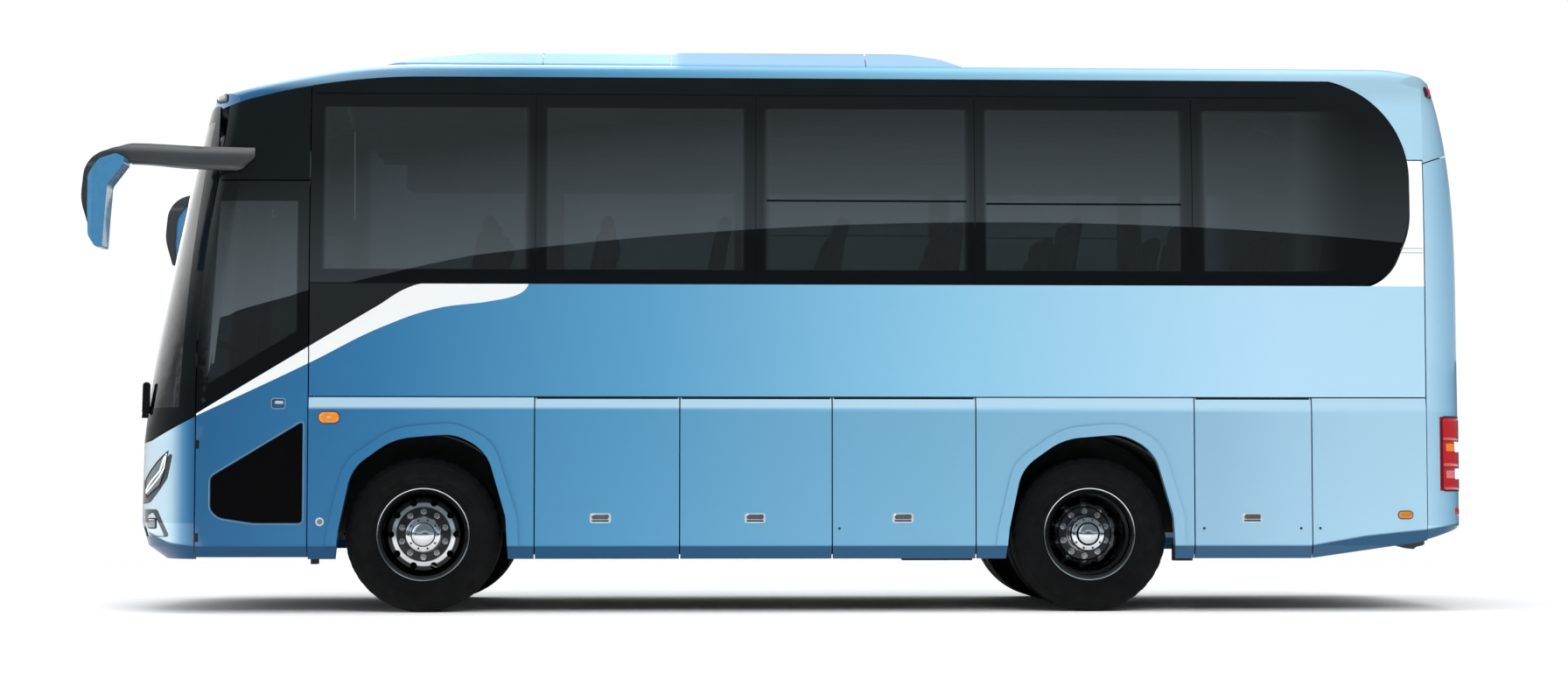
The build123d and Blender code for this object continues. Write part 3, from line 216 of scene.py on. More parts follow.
# height of the painted shade band along the foot of the body, where the skirt tucks under, by station
SHADED_FOOT_LINE = [(-1.90, 0.560), (-1.713, 0.494), (-1.583, 0.439), (-1.41, 0.417), (5.594, 0.417), (5.938, 0.477),
             (6.162, 0.501), (6.331, 0.517), (6.522, 0.547), (6.70, 0.560)]
# painted shade on the skirt under the fold, and a painted highlight on the crown of the roof: how far each turns to
# its greyer blue, by station
SKIRT_PAINTED_SHADE = [(-1.90, 0.0), (0.60, 0.0), (1.40, 0.10), (2.00, 0.17), (3.10, 0.30), (5.00, 0.33), (5.86, 0.15),
               (6.70, 0.08)]
CROWN_HIGHLIGHT_SHARE = [(-1.90, 0.1), (1.10, 0.2), (2.00, 0.6), (6.00, 0.6), (6.70, 0.3)]
# heights between which they fade in and out, as do the painted highlight on the fold along the flaps' upper edge, the
# painted shade on the roof's shoulder and the painted highlight on the brow over the windscreen; the fold and the brow
# also have their stations
SKIRT_SHADE_HEIGHTS, CROWN_HIGHLIGHT, SHOULDER_SHADE = (1.272, 1.252), (3.44, 3.50), ((3.20, 3.30), (3.46, 3.40))
FOLD_HIGHLIGHT, FOLD_FROM, FOLD_TO = ((1.268, 1.288), (1.352, 1.346)), -0.712, 6.34
BROW_HIGHLIGHT, BROW_NONE, BROW_FULL = (3.28, 3.36), 0.6, -1.0


def paint_colour(s, x, z):
    """Metallic blue with a painted reflection, pale to deep by station; painted highlights on the fold, the brow and
    the crown, and painted shade on the shoulder, the skirt and in a band along the foot of the skirt.
    """
    run = s.between(x, AXLE_X + PAINT_FROM, AXLE_X + PAINT_TO)

    def by_station(table):
        """A colour or a value that changes along the body."""
        stops = [((station - PAINT_FROM) / (PAINT_TO - PAINT_FROM), what) for station, what in table]
        return s.ramp(run, [(place, what if isinstance(what, tuple) else grey(what)) for place, what in stops])

    # painted highlight along the fold at the flaps' upper edge
    fold_highlight = s.times(*(s.between(z, *heights) for heights in FOLD_HIGHLIGHT), s.math("GREATER_THAN", x, AXLE_X + FOLD_FROM),
                   s.math("LESS_THAN", x, AXLE_X + FOLD_TO))
    # painted shade on the roof's shoulder
    shoulder_shade = s.times(*(s.between(z, *heights) for heights in SHOULDER_SHADE))
    # painted highlight on the crown of the roof, a paler greyish blue
    crown = s.times(by_station(CROWN_HIGHLIGHT_SHARE), s.between(z, *CROWN_HIGHLIGHT))
    # painted highlight on the brow over the windscreen
    brow_highlight = s.times(s.between(x, AXLE_X + BROW_NONE, AXLE_X + BROW_FULL), s.between(z, *BROW_HIGHLIGHT))
    # painted shade on the skirt below the fold, where it tilts down
    skirt_painted_shade = s.times(by_station(SKIRT_PAINTED_SHADE), s.between(z, *SKIRT_SHADE_HEIGHTS))
    # mask of the painted shade along the foot, where the skirt tucks under
    foot = s.between(s.minus(by_station(SHADED_FOOT_LINE), z), -0.006, 0.006)
    # the blue paint with its painted reflection, painted highlight on the nose and painted shade on the tail
    blue = by_station(PAINT_AND_REFLECTION)
    # painted highlights of the fold and the brow, mixed towards pale blue
    lift = s.plus(s.times(fold_highlight, 0.95), s.times(brow_highlight, 0.55), clamp=True)
    # painted shade on the shoulder and the skirt, and painted highlights on the crown, the fold and the brow
    for share, colour in ((s.times(shoulder_shade, 0.16), rgb(60, 80, 90)), (skirt_painted_shade, rgb(60, 120, 160)),
                          (crown, rgb(155, 176, 202)), (lift, HIGHLIGHT_PALE)):
        blue = s.mix(share, blue, colour)
    # painted shade: the foot band darkened to a deep blue
    blue = s.mix(foot, blue, s.mix(0.92, blue, rgb(4, 66, 106)))
    s.set(Coat_Weight=s.math("MULTIPLY_ADD", foot, -0.75, 1.0))  # the foot band is duller
    s.set(Specular_IOR_Level=s.math("MULTIPLY_ADD", foot, -0.3, 0.5))
    flake = s.ramp(s.noise(900.0, 2.0), [(0.35, grey(0.95)), (0.65, grey(1.0))])
    return s.mix(1.0, blue, flake, "MULTIPLY")


PEEL = (60.0, 0.05, 0.0006, 2.0)  # scale, strength, depth and detail of sprayed lacquer's grain


def coat(s, roughness=0.32, metallic=0.25):
    """Clear coat over the colour, with the faint orange peel of sprayed lacquer."""
    if not s.shader.inputs["Coat Weight"].is_linked:
        s.set(Coat_Weight=1.0)
    s.set(Coat_Roughness=0.04, Coat_Normal=s.bump(*PEEL))
    s.set(Roughness=roughness, Metallic=metallic)


def body_blue():
    s = Surface("body_blue")
    x, _, z = s.axes()
    s.set(Base_Color=paint_colour(s, x, z))
    coat(s)


# the white swoosh: heights of its lower and upper edge by station
SWOOSH_FROM, SWOOSH_TO, SWOOSH_LOW, SWOOSH_HIGH = -1.45, 0.75, 1.15, 2.15
SWOOSH_END = 0.70  # behind it the panels are blue
SWOOSH_LOWER = [(-1.450, 1.210), (-1.050, 1.397), (-0.716, 1.557), (-0.239, 1.794), (0.088, 1.904), (0.416, 1.949),
                (0.569, 1.983), (0.634, 2.021), (0.690, 2.120), (0.750, 2.150)]
SWOOSH_UPPER = [(-1.450, 1.216), (-1.100, 1.430), (-0.717, 1.661), (-0.294, 1.914), (-0.077, 2.041), (0.032, 2.069),
                (0.200, 2.110), (0.750, 2.150)]


def livery():
    """Side panels and doors: black under the glass, the white swoosh, blue below it."""
    s = Surface("livery")
    x, _, z = s.axes()
    run = s.between(x, AXLE_X + SWOOSH_FROM, AXLE_X + SWOOSH_TO)
    height = s.between(z, SWOOSH_LOW, SWOOSH_HIGH)
    in_front = s.math("LESS_THAN", x, AXLE_X + SWOOSH_END)

    def above(points):
        scaled = [((px - SWOOSH_FROM) / (SWOOSH_TO - SWOOSH_FROM), (pz - SWOOSH_LOW) / (SWOOSH_HIGH - SWOOSH_LOW))
                  for px, pz in points]
        return s.times(s.math("GREATER_THAN", height, s.between(s.curve(run, scaled), 0.0, 1.0)), in_front)

    colour = s.mix(above(SWOOSH_LOWER), paint_colour(s, x, z), WHITE)
    s.set(Base_Color=s.mix(above(SWOOSH_UPPER), colour, BLACK))
    coat(s, 0.3, 0.15)


def gloss_black():
    s = Surface("gloss_black", Specular_IOR_Level=0.3)
    s.set(Base_Color=worn(s, rgb(14, 19, 22), 0.15, 3.0), Roughness=s.between(s.noise(40.0), 0.0, 9.0))


def tinted_glass(name, colour, index):
    s = Surface(name, Roughness=0.0, IOR=index, Transmission_Weight=1.0)
    s.set(Base_Color=s.patches(1.2, toned(colour, 0.94), colour, 2.0))


def printed_glass(s, clear, index, gain, low, high):
    """Glass with a black border printed on it: clear is 1 inside the border and 0 on it."""
    s.set(IOR=s.math("MULTIPLY_ADD", clear, gain, index), Transmission_Weight=clear)
    s.set(Base_Color=s.mix(s.math("POWER", clear, 4.0), rgb(5, 8, 10), s.patches(1.2, low, high, 2.0)))


# stations between which each side pane is clear, inside its printed black border
CLEAR = [(-0.621, 0.650), (0.761, 2.013), (2.151, 3.418), (3.544, 4.787), (4.924, 5.930)]
CLEAR_LOW, CLEAR_HIGH = 2.150, 3.178
BORDER_SOFT = 0.004  # half the run from clear to black, above and below


def bordered_glass():
    """The side panes; the last one fades into its border towards the tail."""
    s = Surface("window_glass", Roughness=0.0)
    x, _, z = s.axes()
    start, end = CLEAR[0][0] - 0.1, CLEAR[-1][1] + 0.1
    soft, fade = 0.007, 0.45
    stops = [(0.0, grey(0.0))]
    for low, high in CLEAR:
        before = fade if high == CLEAR[-1][1] else soft
        stops += [((place - start) / (end - start), grey(value)) for place, value in (
            (low - soft, 0.0), (low + soft, 1.0), (high - before, 1.0), (high + soft, 0.0))]
    clear = s.times(s.ramp(s.between(x, AXLE_X + start, AXLE_X + end), stops),
                    s.between(z, CLEAR_LOW - BORDER_SOFT, CLEAR_LOW + BORDER_SOFT),
                    s.between(z, CLEAR_HIGH + BORDER_SOFT, CLEAR_HIGH - BORDER_SOFT))
    printed_glass(s, clear, 1.54, 0.30, rgb(84, 95, 100), rgb(90, 101, 106))


def door_glass():
    """The door's pane, inside a slanted border."""
    s = Surface("door_glass", Roughness=0.0)
    x, _, z = s.axes()
    front = s.math("MULTIPLY_ADD", z, 0.0589, AXLE_X - 1.4276)  # its front edge leans back
    foot = s.math("MULTIPLY_ADD", x, 0.6036, 2.231 - 0.6036 * AXLE_X)  # its lower edge follows the stripe
    clear = s.times(s.between(s.minus(x, front), 0.0, 0.008), s.between(x, AXLE_X - 0.785, AXLE_X - 0.793),
                    s.between(z, 2.580, 2.572), s.between(s.minus(z, foot), 0.0, 0.008))
    printed_glass(s, clear, 1.56, 0.48, rgb(60, 68, 72), rgb(66, 74, 78))


ARM_HEIGHTS = 2.76, 2.92


def arm_grey():
    """Moulded grey of the mirror arm, with painted highlights along its upper edge and, fainter, its lower edge, and
    painted shade between them.
    """
    s = Surface("arm_grey", Roughness=0.4)
    # painted highlights and painted shade, by height across the arm
    painted_light = s.ramp(s.between(s.axes()[2], *ARM_HEIGHTS), [
        (0.0, rgb(50, 54, 57)), (0.12, rgb(84, 88, 90)), (0.24, rgb(46, 51, 54)), (0.62, rgb(60, 64, 67)),
        (0.80, rgb(112, 114, 117)), (0.90, rgb(124, 126, 129)), (1.0, rgb(84, 87, 90))])
    s.set(Base_Color=s.mix(0.12, painted_light, worn(s, rgb(70, 74, 78), 0.2)), Normal=s.bump(160.0, 0.15, 0.0005))


RIM_REACH = 0.30  # radius over which the rim's tones are laid out


def wheel_metal():
    """Polished steel: bright at the hub, the nut ring and the lip, with painted shade where the disc falls away
    between them.
    """
    s = Surface("wheel_metal", Metallic=1.0)
    x, _, z = s.axes()
    along = s.minus(s.math("ABSOLUTE", s.minus(x, AXLE_X + WHEELBASE / 2)), WHEELBASE / 2)
    up = s.minus(z, TYRE_R)
    radius = s.math("SQRT", s.plus(s.times(along, along), s.times(up, up)))
    bright, shade, dark = rgb(214, 215, 217), rgb(74, 75, 78), rgb(48, 49, 51)
    # painted shade in the annulus round the nuts, and deeper painted shade on the disc inside the lip
    colour = s.ramp(s.between(radius, 0.0, RIM_REACH), [
        (0.0, bright), (0.37, bright), (0.385, shade), (0.565, shade), (0.585, bright), (0.650, bright), (0.675, dark),
        (0.935, dark), (0.955, bright)])
    s.set(Base_Color=s.mix(0.25, colour, worn(s, bright, 0.2, 20.0), "MULTIPLY"), Normal=s.bump(30.0, 0.05, 0.0004))
    s.set(Roughness=s.patches(14.0, grey(0.12), grey(0.2)))


def lacquered(name, colour):
    """A coloured lens or enamel under a clear gloss."""
    s = Surface(name)
    s.set(Base_Color=worn(s, colour, 0.08, 24.0))
    coat(s, 0.22, 0.0)


def glowing(name, colour, strength):
    """A lit lens."""
    s = Surface(name, Roughness=0.15)
    tone = worn(s, colour, 0.05, 30.0)
    s.set(Base_Color=tone, Emission_Color=tone, Emission_Strength=strength)


def plain(name, colour, roughness=0.5, metallic=0.0, grain=(120.0, 0.25, 0.001), **more):
    """A moulded or painted surface with its fine grain (scale, strength, depth) and faint patches."""
    s = Surface(name, Metallic=metallic, **more)
    s.set(Base_Color=worn(s, colour), Normal=s.bump(*grain))
    s.set(Roughness=s.patches(14.0, grey(roughness * 0.85), grey(min(1.0, roughness * 1.15))))


LACQUERS = {"marker_orange": rgb(206, 122, 22), "lens_red": rgb(186, 10, 22), "mirror_blue": rgb(66, 130, 174),
            "lamp_grey": rgb(112, 120, 124), "lamp_amber": rgb(232, 138, 28), "lamp_smoke": rgb(52, 60, 66),
            "lamp_edge": rgb(38, 18, 34), "lamp_pink": rgb(214, 120, 130)}
for finish in (body_blue, livery, gloss_black, bordered_glass, door_glass, arm_grey, wheel_metal):
    finish()
for name, colour in LACQUERS.items():
    lacquered(name, colour)
tinted_glass("side_glass", rgb(70, 79, 83), 1.75)
tinted_glass("screen_glass", rgb(88, 96, 102), 1.72)
coat(Surface("trim_white", Base_Color=WHITE), 0.35, 0.0)
coat(Surface("lamp_red", Base_Color=rgb(170, 12, 22)), 0.2, 0.0)
glowing("lamp_white", rgb(238, 246, 250), 0.35)
plain("panel_black", rgb(2, 2, 3), 0.6, Specular_IOR_Level=0.06)
plain("mirror_grey", rgb(52, 57, 60), 0.4)
plain("rubber", rgb(6, 6, 7), 0.75, grain=(260.0, 0.35, 0.0008), Specular_IOR_Level=0.2)
plain("seal_rubber", rgb(7, 8, 9), 0.85, grain=(300.0, 0.3, 0.0008), Specular_IOR_Level=0.1)
plain("chrome", rgb(206, 208, 211), 0.12, 1.0, grain=(30.0, 0.03, 0.0004))
plain("satin_silver", rgb(196, 206, 212), 0.38, 0.35, grain=(200.0, 0.1, 0.0004))
plain("line_grey", rgb(104, 134, 154), 0.4)
plain("trim_black", rgb(4, 5, 6), 0.35, Specular_IOR_Level=0.2)
plain("chassis_black", rgb(16, 17, 18), 0.65)
plain("floor_grey", rgb(74, 76, 80), 0.75)
plain("seat_fabric", rgb(52, 58, 74), 0.9, grain=(420.0, 0.6, 0.002))
plain("dash_plastic", rgb(38, 40, 43), 0.55)
plain("hinge_steel", rgb(58, 62, 66), 0.35, 1.0)
plain("rack_grey", rgb(70, 72, 76), 0.6)

SURFACES = {
    "body_blue": ("roof_shell", "roof_unit", "rear_dome", "rear_cap", "front_fascia", "skirt_panels", "engine_lid",
                  *FLAP_NODES),
    "mirror_blue": ("mirror_heads",),
    "livery": ("waist_panels", "driver_door", "passenger_door"),
    "gloss_black": ("window_frames", "windscreen_frame", "wipers"),
    "trim_white": ("rear_quarters",),
    "window_glass": ("side_windows",),
    "side_glass": ("rear_window",),
    "door_glass": ("driver_door_glass", "passenger_door_glass"),
    "screen_glass": ("windscreen",),
    "arm_grey": ("mirror_arms",),
    "lamp_smoke": ("front_lamps",),
    "lamp_red": ("tail_lamps",),
    "chassis_black": ("chassis_frame", "front_axle", "rear_axle", "engine", "knuckle_left", "knuckle_right",
                      "track_rod", "wheelhouses", "luggage_hold"),
    "rubber": ("air_springs", "front_tyre_left", "front_tyre_right", "rear_tyres_left", "rear_tyres_right"),
    "wheel_metal": ("front_rim_left", "front_rim_right", "rear_rims_left", "rear_rims_right"),
    "floor_grey": ("cabin_floors",),
    "seat_fabric": ("seats",),
    "dash_plastic": ("dashboard", "steering_wheel"),
    "rack_grey": ("luggage_racks",),
    "hinge_steel": ("hinge_rods", "door_arm"),
}
for material, names in SURFACES.items():
    for name in names:
        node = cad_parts[name]
        node.data.materials.clear()
        node.data.materials.append(MATERIALS[material])
        node.visible_shadow = True

# ---- mesh helpers ----
SIDEWAYS, UP = Vector((1, 0, 0)), Vector((0, 0, 1))


def around(points):
    """Each point of a closed outline with the next."""
    return zip(points, points[1:] + points[:1])


def shown(name, data):
    made = bpy.data.objects.new(name, data)
    bpy.context.scene.collection.objects.link(made)
    return made


def piece(name, vertices, faces, material, body="coach_body", slot=None, smooth=True, angle=35.0):
    """A new mesh object that rides on a body; its slot goes by its material, and slot is not used."""
    mesh = bpy.data.meshes.new(name)
    mesh.from_pydata([tuple(v) for v in vertices], [], faces)
    tidy = bmesh.new()
    tidy.from_mesh(mesh)
    bmesh.ops.remove_doubles(tidy, verts=tidy.verts, dist=1e-6)
    bmesh.ops.recalc_face_normals(tidy, faces=tidy.faces)
    tidy.to_mesh(mesh)
    tidy.free()
    mesh.materials.append(MATERIALS[material])
    made = shown(name, mesh)
    if smooth:
        mesh.shade_smooth()
        mesh.set_sharp_from_angle(angle=math.radians(angle))
    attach(made, body)
    return made


def joined(parts):
    """Several (vertices, faces) as one."""
    vertices, faces = [], []
    for some, theirs in parts:
        start = len(vertices)
        vertices += some
        faces += [tuple(start + i for i in face) for face in theirs]
    return vertices, faces


def bands(rings, count):
    """Faces from each ring of count points to the next."""
    return [(near + i, near + j, near + count + j, near + count + i) for near in range(0, (rings - 1) * count, count)
            for i, j in around(list(range(count)))]


def caps(rings, count):
    """Faces that close the first and the last ring."""
    return [tuple(reversed(range(count))), tuple(range((rings - 1) * count, rings * count))]


def turned(profile, centre, outwards, segments=96, wobble=None):
    """(radius, distance outwards) points turned about the Y axis through centre, a closed profile."""
    vertices = []
    for k in range(segments):
        for radius, out in profile:
            if wobble is not None:
                radius, out = wobble(k, radius, out)
            vertices.append(on_circle(centre, radius, math.tau * k / segments, outwards * out))
    count = len(vertices)
    return vertices, [tuple(i % count for i in face) for face in bands(segments + 1, len(profile))]


INSET_FROM = 0.6  # share of a prism's depth where its far edge begins to draw in


def prism(outline, base, depth, inset=0.0, up=UP):
    """A flat outline of (x, z) points about base pushed along Y, its far face drawn in by inset for a soft edge."""
    n = len(outline)
    centre = (sum(p[0] for p in outline) / n, sum(p[1] for p in outline) / n)
    size = max(math.dist(p, centre) for p in outline)
    vertices = []
    for along, scale in ((0.0, 1.0), (INSET_FROM, 1.0), (1.0, 1.0 - inset / size)):
        for a, b in outline:
            flat = (centre[0] + (a - centre[0]) * scale, centre[1] + (b - centre[1]) * scale)
            vertices.append(base + SIDEWAYS * flat[0] + up * flat[1] + Vector((0, depth * along, 0)))
    return vertices, caps(3, n) + bands(3, n)


def round_rect(width, height, radius, steps=5, middle=(0.0, 0.0)):
    """Outline of a rectangle with round corners."""
    points = []
    for cx, cy, start in ((1, 1, 0), (-1, 1, 90), (-1, -1, 180), (1, -1, 270)):
        for k in range(steps + 1):
            angle = math.radians(start + 90 * k / steps)
            points.append((middle[0] + cx * (width / 2 - radius) + radius * math.cos(angle),
                           middle[1] + cy * (height / 2 - radius) + radius * math.sin(angle)))
    return points


def rectangle(x0, z0, x1, z1):
    return [(x0, z0), (x1, z0), (x1, z1), (x0, z1)]


def ngon(sides, radius, turn=0.0, middle=(0.0, 0.0)):
    angles = [math.tau * k / sides + turn for k in range(sides)]
    return [(middle[0] + radius * math.cos(angle), middle[1] + radius * math.sin(angle)) for angle in angles]


def on_circle(centre, radius, angle, out):
    """A point on a circle about the Y axis through centre, out along that axis."""
    return centre + Vector((radius * math.cos(angle), out, radius * math.sin(angle)))


# ---- tyres ----
BEAD_R, SHOULDER_R, TYRE_HALF = 0.2935, 0.470, 0.120
TREAD_SEGMENTS = 216
NOTCH_PITCH, NOTCH_FROM, NOTCH_DEPTH = 6, 0.085, 0.007  # shoulder notches: pitch in segments, from the middle, depth
ZIGZAG = 0.0022  # swing of the grooves
GROOVES = (0.060, 0.020, -0.020, -0.060)  # middle of each groove, across the tread
GROOVE_HALF, GROOVE_DEPTH = 0.005, 0.012


def tyre_profile():
    side = [(BEAD_R, 0.098), (0.300, 0.106), (0.312, 0.110), (0.316, 0.107), (0.330, 0.110), (0.350, 0.1155),
            (0.354, 0.1140), (0.372, 0.1185), (0.395, TYRE_HALF), (0.418, 0.1185), (0.438, 0.1150), (0.442, 0.1165),
            (0.452, 0.1130), (SHOULDER_R, 0.1060), (0.479, 0.1010)]
    tread = [(TYRE_R - 0.0035, 0.096), (TYRE_R - 0.001, 0.088)]
    foot = TYRE_R - GROOVE_DEPTH
    for middle in GROOVES:
        high, low = middle + GROOVE_HALF, middle - GROOVE_HALF
        tread += [(TYRE_R, high + 0.001), (foot, high - 0.001), (foot, low + 0.001), (TYRE_R, low - 0.001)]
    tread += [(TYRE_R - 0.001, -0.088), (TYRE_R - 0.0035, -0.096)]
    return side + tread + [(radius, -out) for radius, out in reversed(side)]


TYRE_PROFILE = tyre_profile()


def tread_wobble(k, radius, out):
    """Zigzag grooves and notched shoulders."""
    if radius > SHOULDER_R and abs(out) < NOTCH_FROM:
        out += ZIGZAG * math.sin(math.tau * k / NOTCH_PITCH)
    if radius > SHOULDER_R and abs(out) >= NOTCH_FROM and k % NOTCH_PITCH in (0, 1):
        radius -= NOTCH_DEPTH
    return radius, out


# ---- wheels ----
WHEEL_Y = 1.065  # middle of the front and of the outer rear tyres
TWIN_PITCH = 0.280
NUTS, NUT_CIRCLE_R = 10, 0.1425
BOLTS, BOLT_CIRCLE_R = 10, 0.0925
# sections of the rim's lip and of the hub covers: (radius, distance outwards)
RIM_LIP = [(0.2925, 0.1010), (0.2905, 0.1035), (0.2860, 0.1030), (0.2835, 0.0990), (0.2800, 0.0900), (0.2860, 0.0900),
           (0.2905, 0.0965)]
HUB_FRONT = [(0.0, 0.136), (0.028, 0.1345), (0.052, 0.129), (0.068, 0.121), (0.0765, 0.111), (0.079, 0.105),
             (0.084, 0.104), (0.098, 0.1015), (0.108, 0.096), (0.1125, 0.084), (0.1125, 0.062), (0.104, 0.062),
             (0.0, 0.098)]
HUB_REAR = [(0.0, 0.078), (0.028, 0.0765), (0.052, 0.071), (0.066, 0.062), (0.0735, 0.050), (0.076, 0.044),
            (0.082, 0.043), (0.098, 0.0405), (0.1085, 0.034), (0.1130, 0.022), (0.1130, -0.040), (0.104, -0.040),
            (0.0, 0.018)]
# where it is, station, ending of names, each tyre's distance inwards, where nuts stand, hub, where its bolts stand
WHEELS = (("front", 0.0, "", (0.0,), 0.058, HUB_FRONT, 0.0985),
          ("rear", WHEELBASE, "s", (0.0, TWIN_PITCH), -0.126, HUB_REAR, 0.0375))
# parts of a wheel nut from its seat: start, end, sides, radius
NUT_PARTS = ((0.0, 0.006, 20, 0.0215), (0.005, 0.024, 6, 0.0165), (0.022, 0.030, 12, 0.0095))
for side, sense in SIDES:
    for where, station, more, inwards, nuts_out, hub, bolts_out in WHEELS:
        body = f"{where}_wheel{more}_{side}"
        centre = at(station, sense * WHEEL_Y, TYRE_R)
        tyres = [turned(TYRE_PROFILE, at(station, sense * (WHEEL_Y - inner), TYRE_R), sense, TREAD_SEGMENTS,
                        tread_wobble) for inner in inwards]
        made = piece(f"{where}_tyre_tread{more}_{side}", *joined(tyres), "rubber", body, angle=28.0)
        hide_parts(f"{where}_tyre{more}_{side}")
        nuts, bolts = [], []
        for k in range(NUTS):
            angle = math.tau * (k + 0.5) / NUTS
            for start, end, sides, radius in NUT_PARTS:
                spot = on_circle(centre, NUT_CIRCLE_R, angle, sense * (nuts_out + start))
                nuts.append(prism(ngon(sides, radius, angle), spot, sense * (end - start), 0.002))
        for k in range(BOLTS):
            angle = math.tau * k / BOLTS
            spot = on_circle(centre, BOLT_CIRCLE_R, angle, sense * bolts_out)
            bolts.append(prism(ngon(6, 0.0075, angle), spot, sense * 0.009, 0.001))
        piece(f"{where}_wheel_nuts_{side}", *joined(nuts), "chrome", body)
        piece(f"{where}_hub_{side}_cap", *turned(hub, centre, sense), "chrome", body, angle=40.0)
        piece(f"{where}_hub_{side}_bolts", *joined(bolts), "hinge_steel", body)
        piece(f"{where}_rim_lip_{side}", *turned(RIM_LIP, centre, sense, 128), "chrome", body)

# ---- pieces laid on a surface ----
NEARBY = (0.0, 0.003, 0.006, 0.010, 0.015, 0.022, 0.032)  # distances at which a gap in the surface is bridged


class Skin:
    """The surface of some nodes, on which small pieces are laid."""

    def __init__(self, *names):
        corners, faces = [], []
        for name in names:
            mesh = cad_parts[name].data
            start = len(corners)
            corners += [v.co for v in mesh.vertices]
            faces += [[start + i for i in face.vertices] for face in mesh.polygons]
        self.tree = BVHTree.FromPolygons(corners, faces)

    def reach(self, start, point, along, name):
        """The surface under a point of a view, or level with the nearest surface beside it, and its normal."""
        for far in NEARBY:
            for turn in range(8 if far else 1):
                angle = math.tau * turn / 8
                beside = start(point[0] + far * math.cos(angle), point[1] + far * math.sin(angle))
                spot, normal, _, _ = self.tree.ray_cast(beside, along)
                if spot is not None:
                    return spot + start(*point) - beside, -normal if normal.dot(along) > 0 else normal
        raise ValueError(f"{name}: {tuple(point)} misses the surface")


def dense(outline, step):
    points = []
    for p, q in around(outline):
        count = max(1, math.ceil(math.dist(p, q) / step))
        points += [(p[0] + (q[0] - p[0]) * k / count, p[1] + (q[1] - p[1]) * k / count) for k in range(count)]
    return points


def inside(point, outlines):
    odd = False
    for outline in outlines:
        for (x0, z0), (x1, z1) in around(outline):
            if (z0 > point[1]) != (z1 > point[1]) and point[0] < (x1 - x0) * (point[1] - z0) / (z1 - z0) + x0:
                odd = not odd
    return odd


def edge_distance(point, outlines):
    nearest = math.inf
    for outline in outlines:
        for (x0, z0), (x1, z1) in around(outline):
            dx, dz = x1 - x0, z1 - z0
            share = ((point[0] - x0) * dx + (point[1] - z0) * dz) / max(dx * dx + dz * dz, 1e-12)
            share = min(1.0, max(0.0, share))
            nearest = min(nearest, math.dist(point, (x0 + dx * share, z0 + dz * share)))
    return nearest


def shifted(outline, by):
    """The outline moved inwards by a distance, or outwards where it is negative."""
    turn = sum(p[0] * q[1] - q[0] * p[1] for p, q in around(outline))
    sign = 1 if turn > 0 else -1
    moved = []
    for before, (here, after) in zip(outline[-1:] + outline[:-1], around(outline)):
        normals = []
        for p, q in ((before, here), (here, after)):
            length = max(math.dist(p, q), 1e-9)
            normals.append((-(q[1] - p[1]) / length * sign, (q[0] - p[0]) / length * sign))
        nx, nz = normals[0][0] + normals[1][0], normals[0][1] + normals[1][1]
        scale = by / max(0.5, (nx * nx + nz * nz) / 2)
        moved.append((here[0] + nx * scale, here[1] + nz * scale))
    return moved


def triangles(outlines, step, soft):
    """The area within outlines as points and triangles of about a step's size, with a ring at the soft edge."""
    rings = [dense(outline, step) for outline in outlines]
    if soft:
        rings += [shifted(ring, soft if n == 0 else -soft) for n, ring in enumerate(rings[:])]
    points, edges = [], []
    for ring in rings:
        start = len(points)
        points += ring
        edges += [(start + i, start + (i + 1) % len(ring)) for i in range(len(ring))]
    low = [min(p[k] for p in outlines[0]) for k in (0, 1)]
    high = [max(p[k] for p in outlines[0]) for k in (0, 1)]
    for i in range(1, math.ceil((high[0] - low[0]) / step)):
        for j in range(1, math.ceil((high[1] - low[1]) / step)):
            spot = (low[0] + i * step, low[1] + j * step)
            if inside(spot, outlines) and edge_distance(spot, outlines) > soft + 0.4 * step:
                points.append(spot)
    flat, _, faces, *_ = delaunay_2d_cdt([Vector(p) for p in points], edges, [], 0, 1e-7)
    kept = []
    for face in faces:
        middle = sum((flat[i] for i in face), Vector((0, 0))) / len(face)
        if inside(middle, outlines):
            kept.append(tuple(face))
    return flat, kept


def sideways(sense):
    """Seen from the side: (x from the front axle, z)."""
    return (lambda a, b: at(a, sense * 2.2, b)), Vector((0, -sense, 0))


SINK = 0.001  # how far the back of a laid piece lies under the surface
RIM_SHARE = 0.3  # how much of its height a soft edge keeps at the rim


def laid(name, outlines, skin, view, material, body, proud, soft=0.0, step=0.02):
    """A thin piece on a surface: the area within outlines, seen along a view, standing proud with a soft edge."""
    start, along = view
    flat, faces = triangles(outlines, step, soft)
    front, back = [], []
    for point in flat:
        spot, normal = skin.reach(start, point, along, name)
        share = RIM_SHARE + (1 - RIM_SHARE) * min(1.0, edge_distance(point, outlines) / soft) if soft else 1.0
        front.append(spot + normal * proud * share)
        back.append(spot - normal * SINK)
    count = len(front)
    edges = dict.fromkeys(pair for face in faces for pair in around(face))
    walls = [(i + count, j + count, j, i) for i, j in edges if (j, i) not in edges]
    backs = [tuple(i + count for i in reversed(face)) for face in faces]
    return piece(name, front + back, faces + backs + walls, material, body)


def ring_of(outline, width):
    """An outline and the hole that leaves a ring of a width inside it."""
    return [outline, shifted(outline, width)]


CUT_MOST = 0.45  # the most of an edge that a round corner takes


def rounded_corners(points, radius, steps=4):
    """A closed outline with its corners cut round."""
    made = []
    for before, (here, after) in zip(points[-1:] + points[:-1], around(points)):
        cut = min(radius, math.dist(before, here) * CUT_MOST, math.dist(here, after) * CUT_MOST)
        p, q = ([here[k] + (end[k] - here[k]) * cut / math.dist(here, end) for k in (0, 1)] for end in (before, after))
        for share in (n / steps for n in range(steps + 1)):
            made.append(tuple((1 - share) ** 2 * p[k] + 2 * share * (1 - share) * here[k] + share ** 2 * q[k]
                              for k in (0, 1)))
    return made


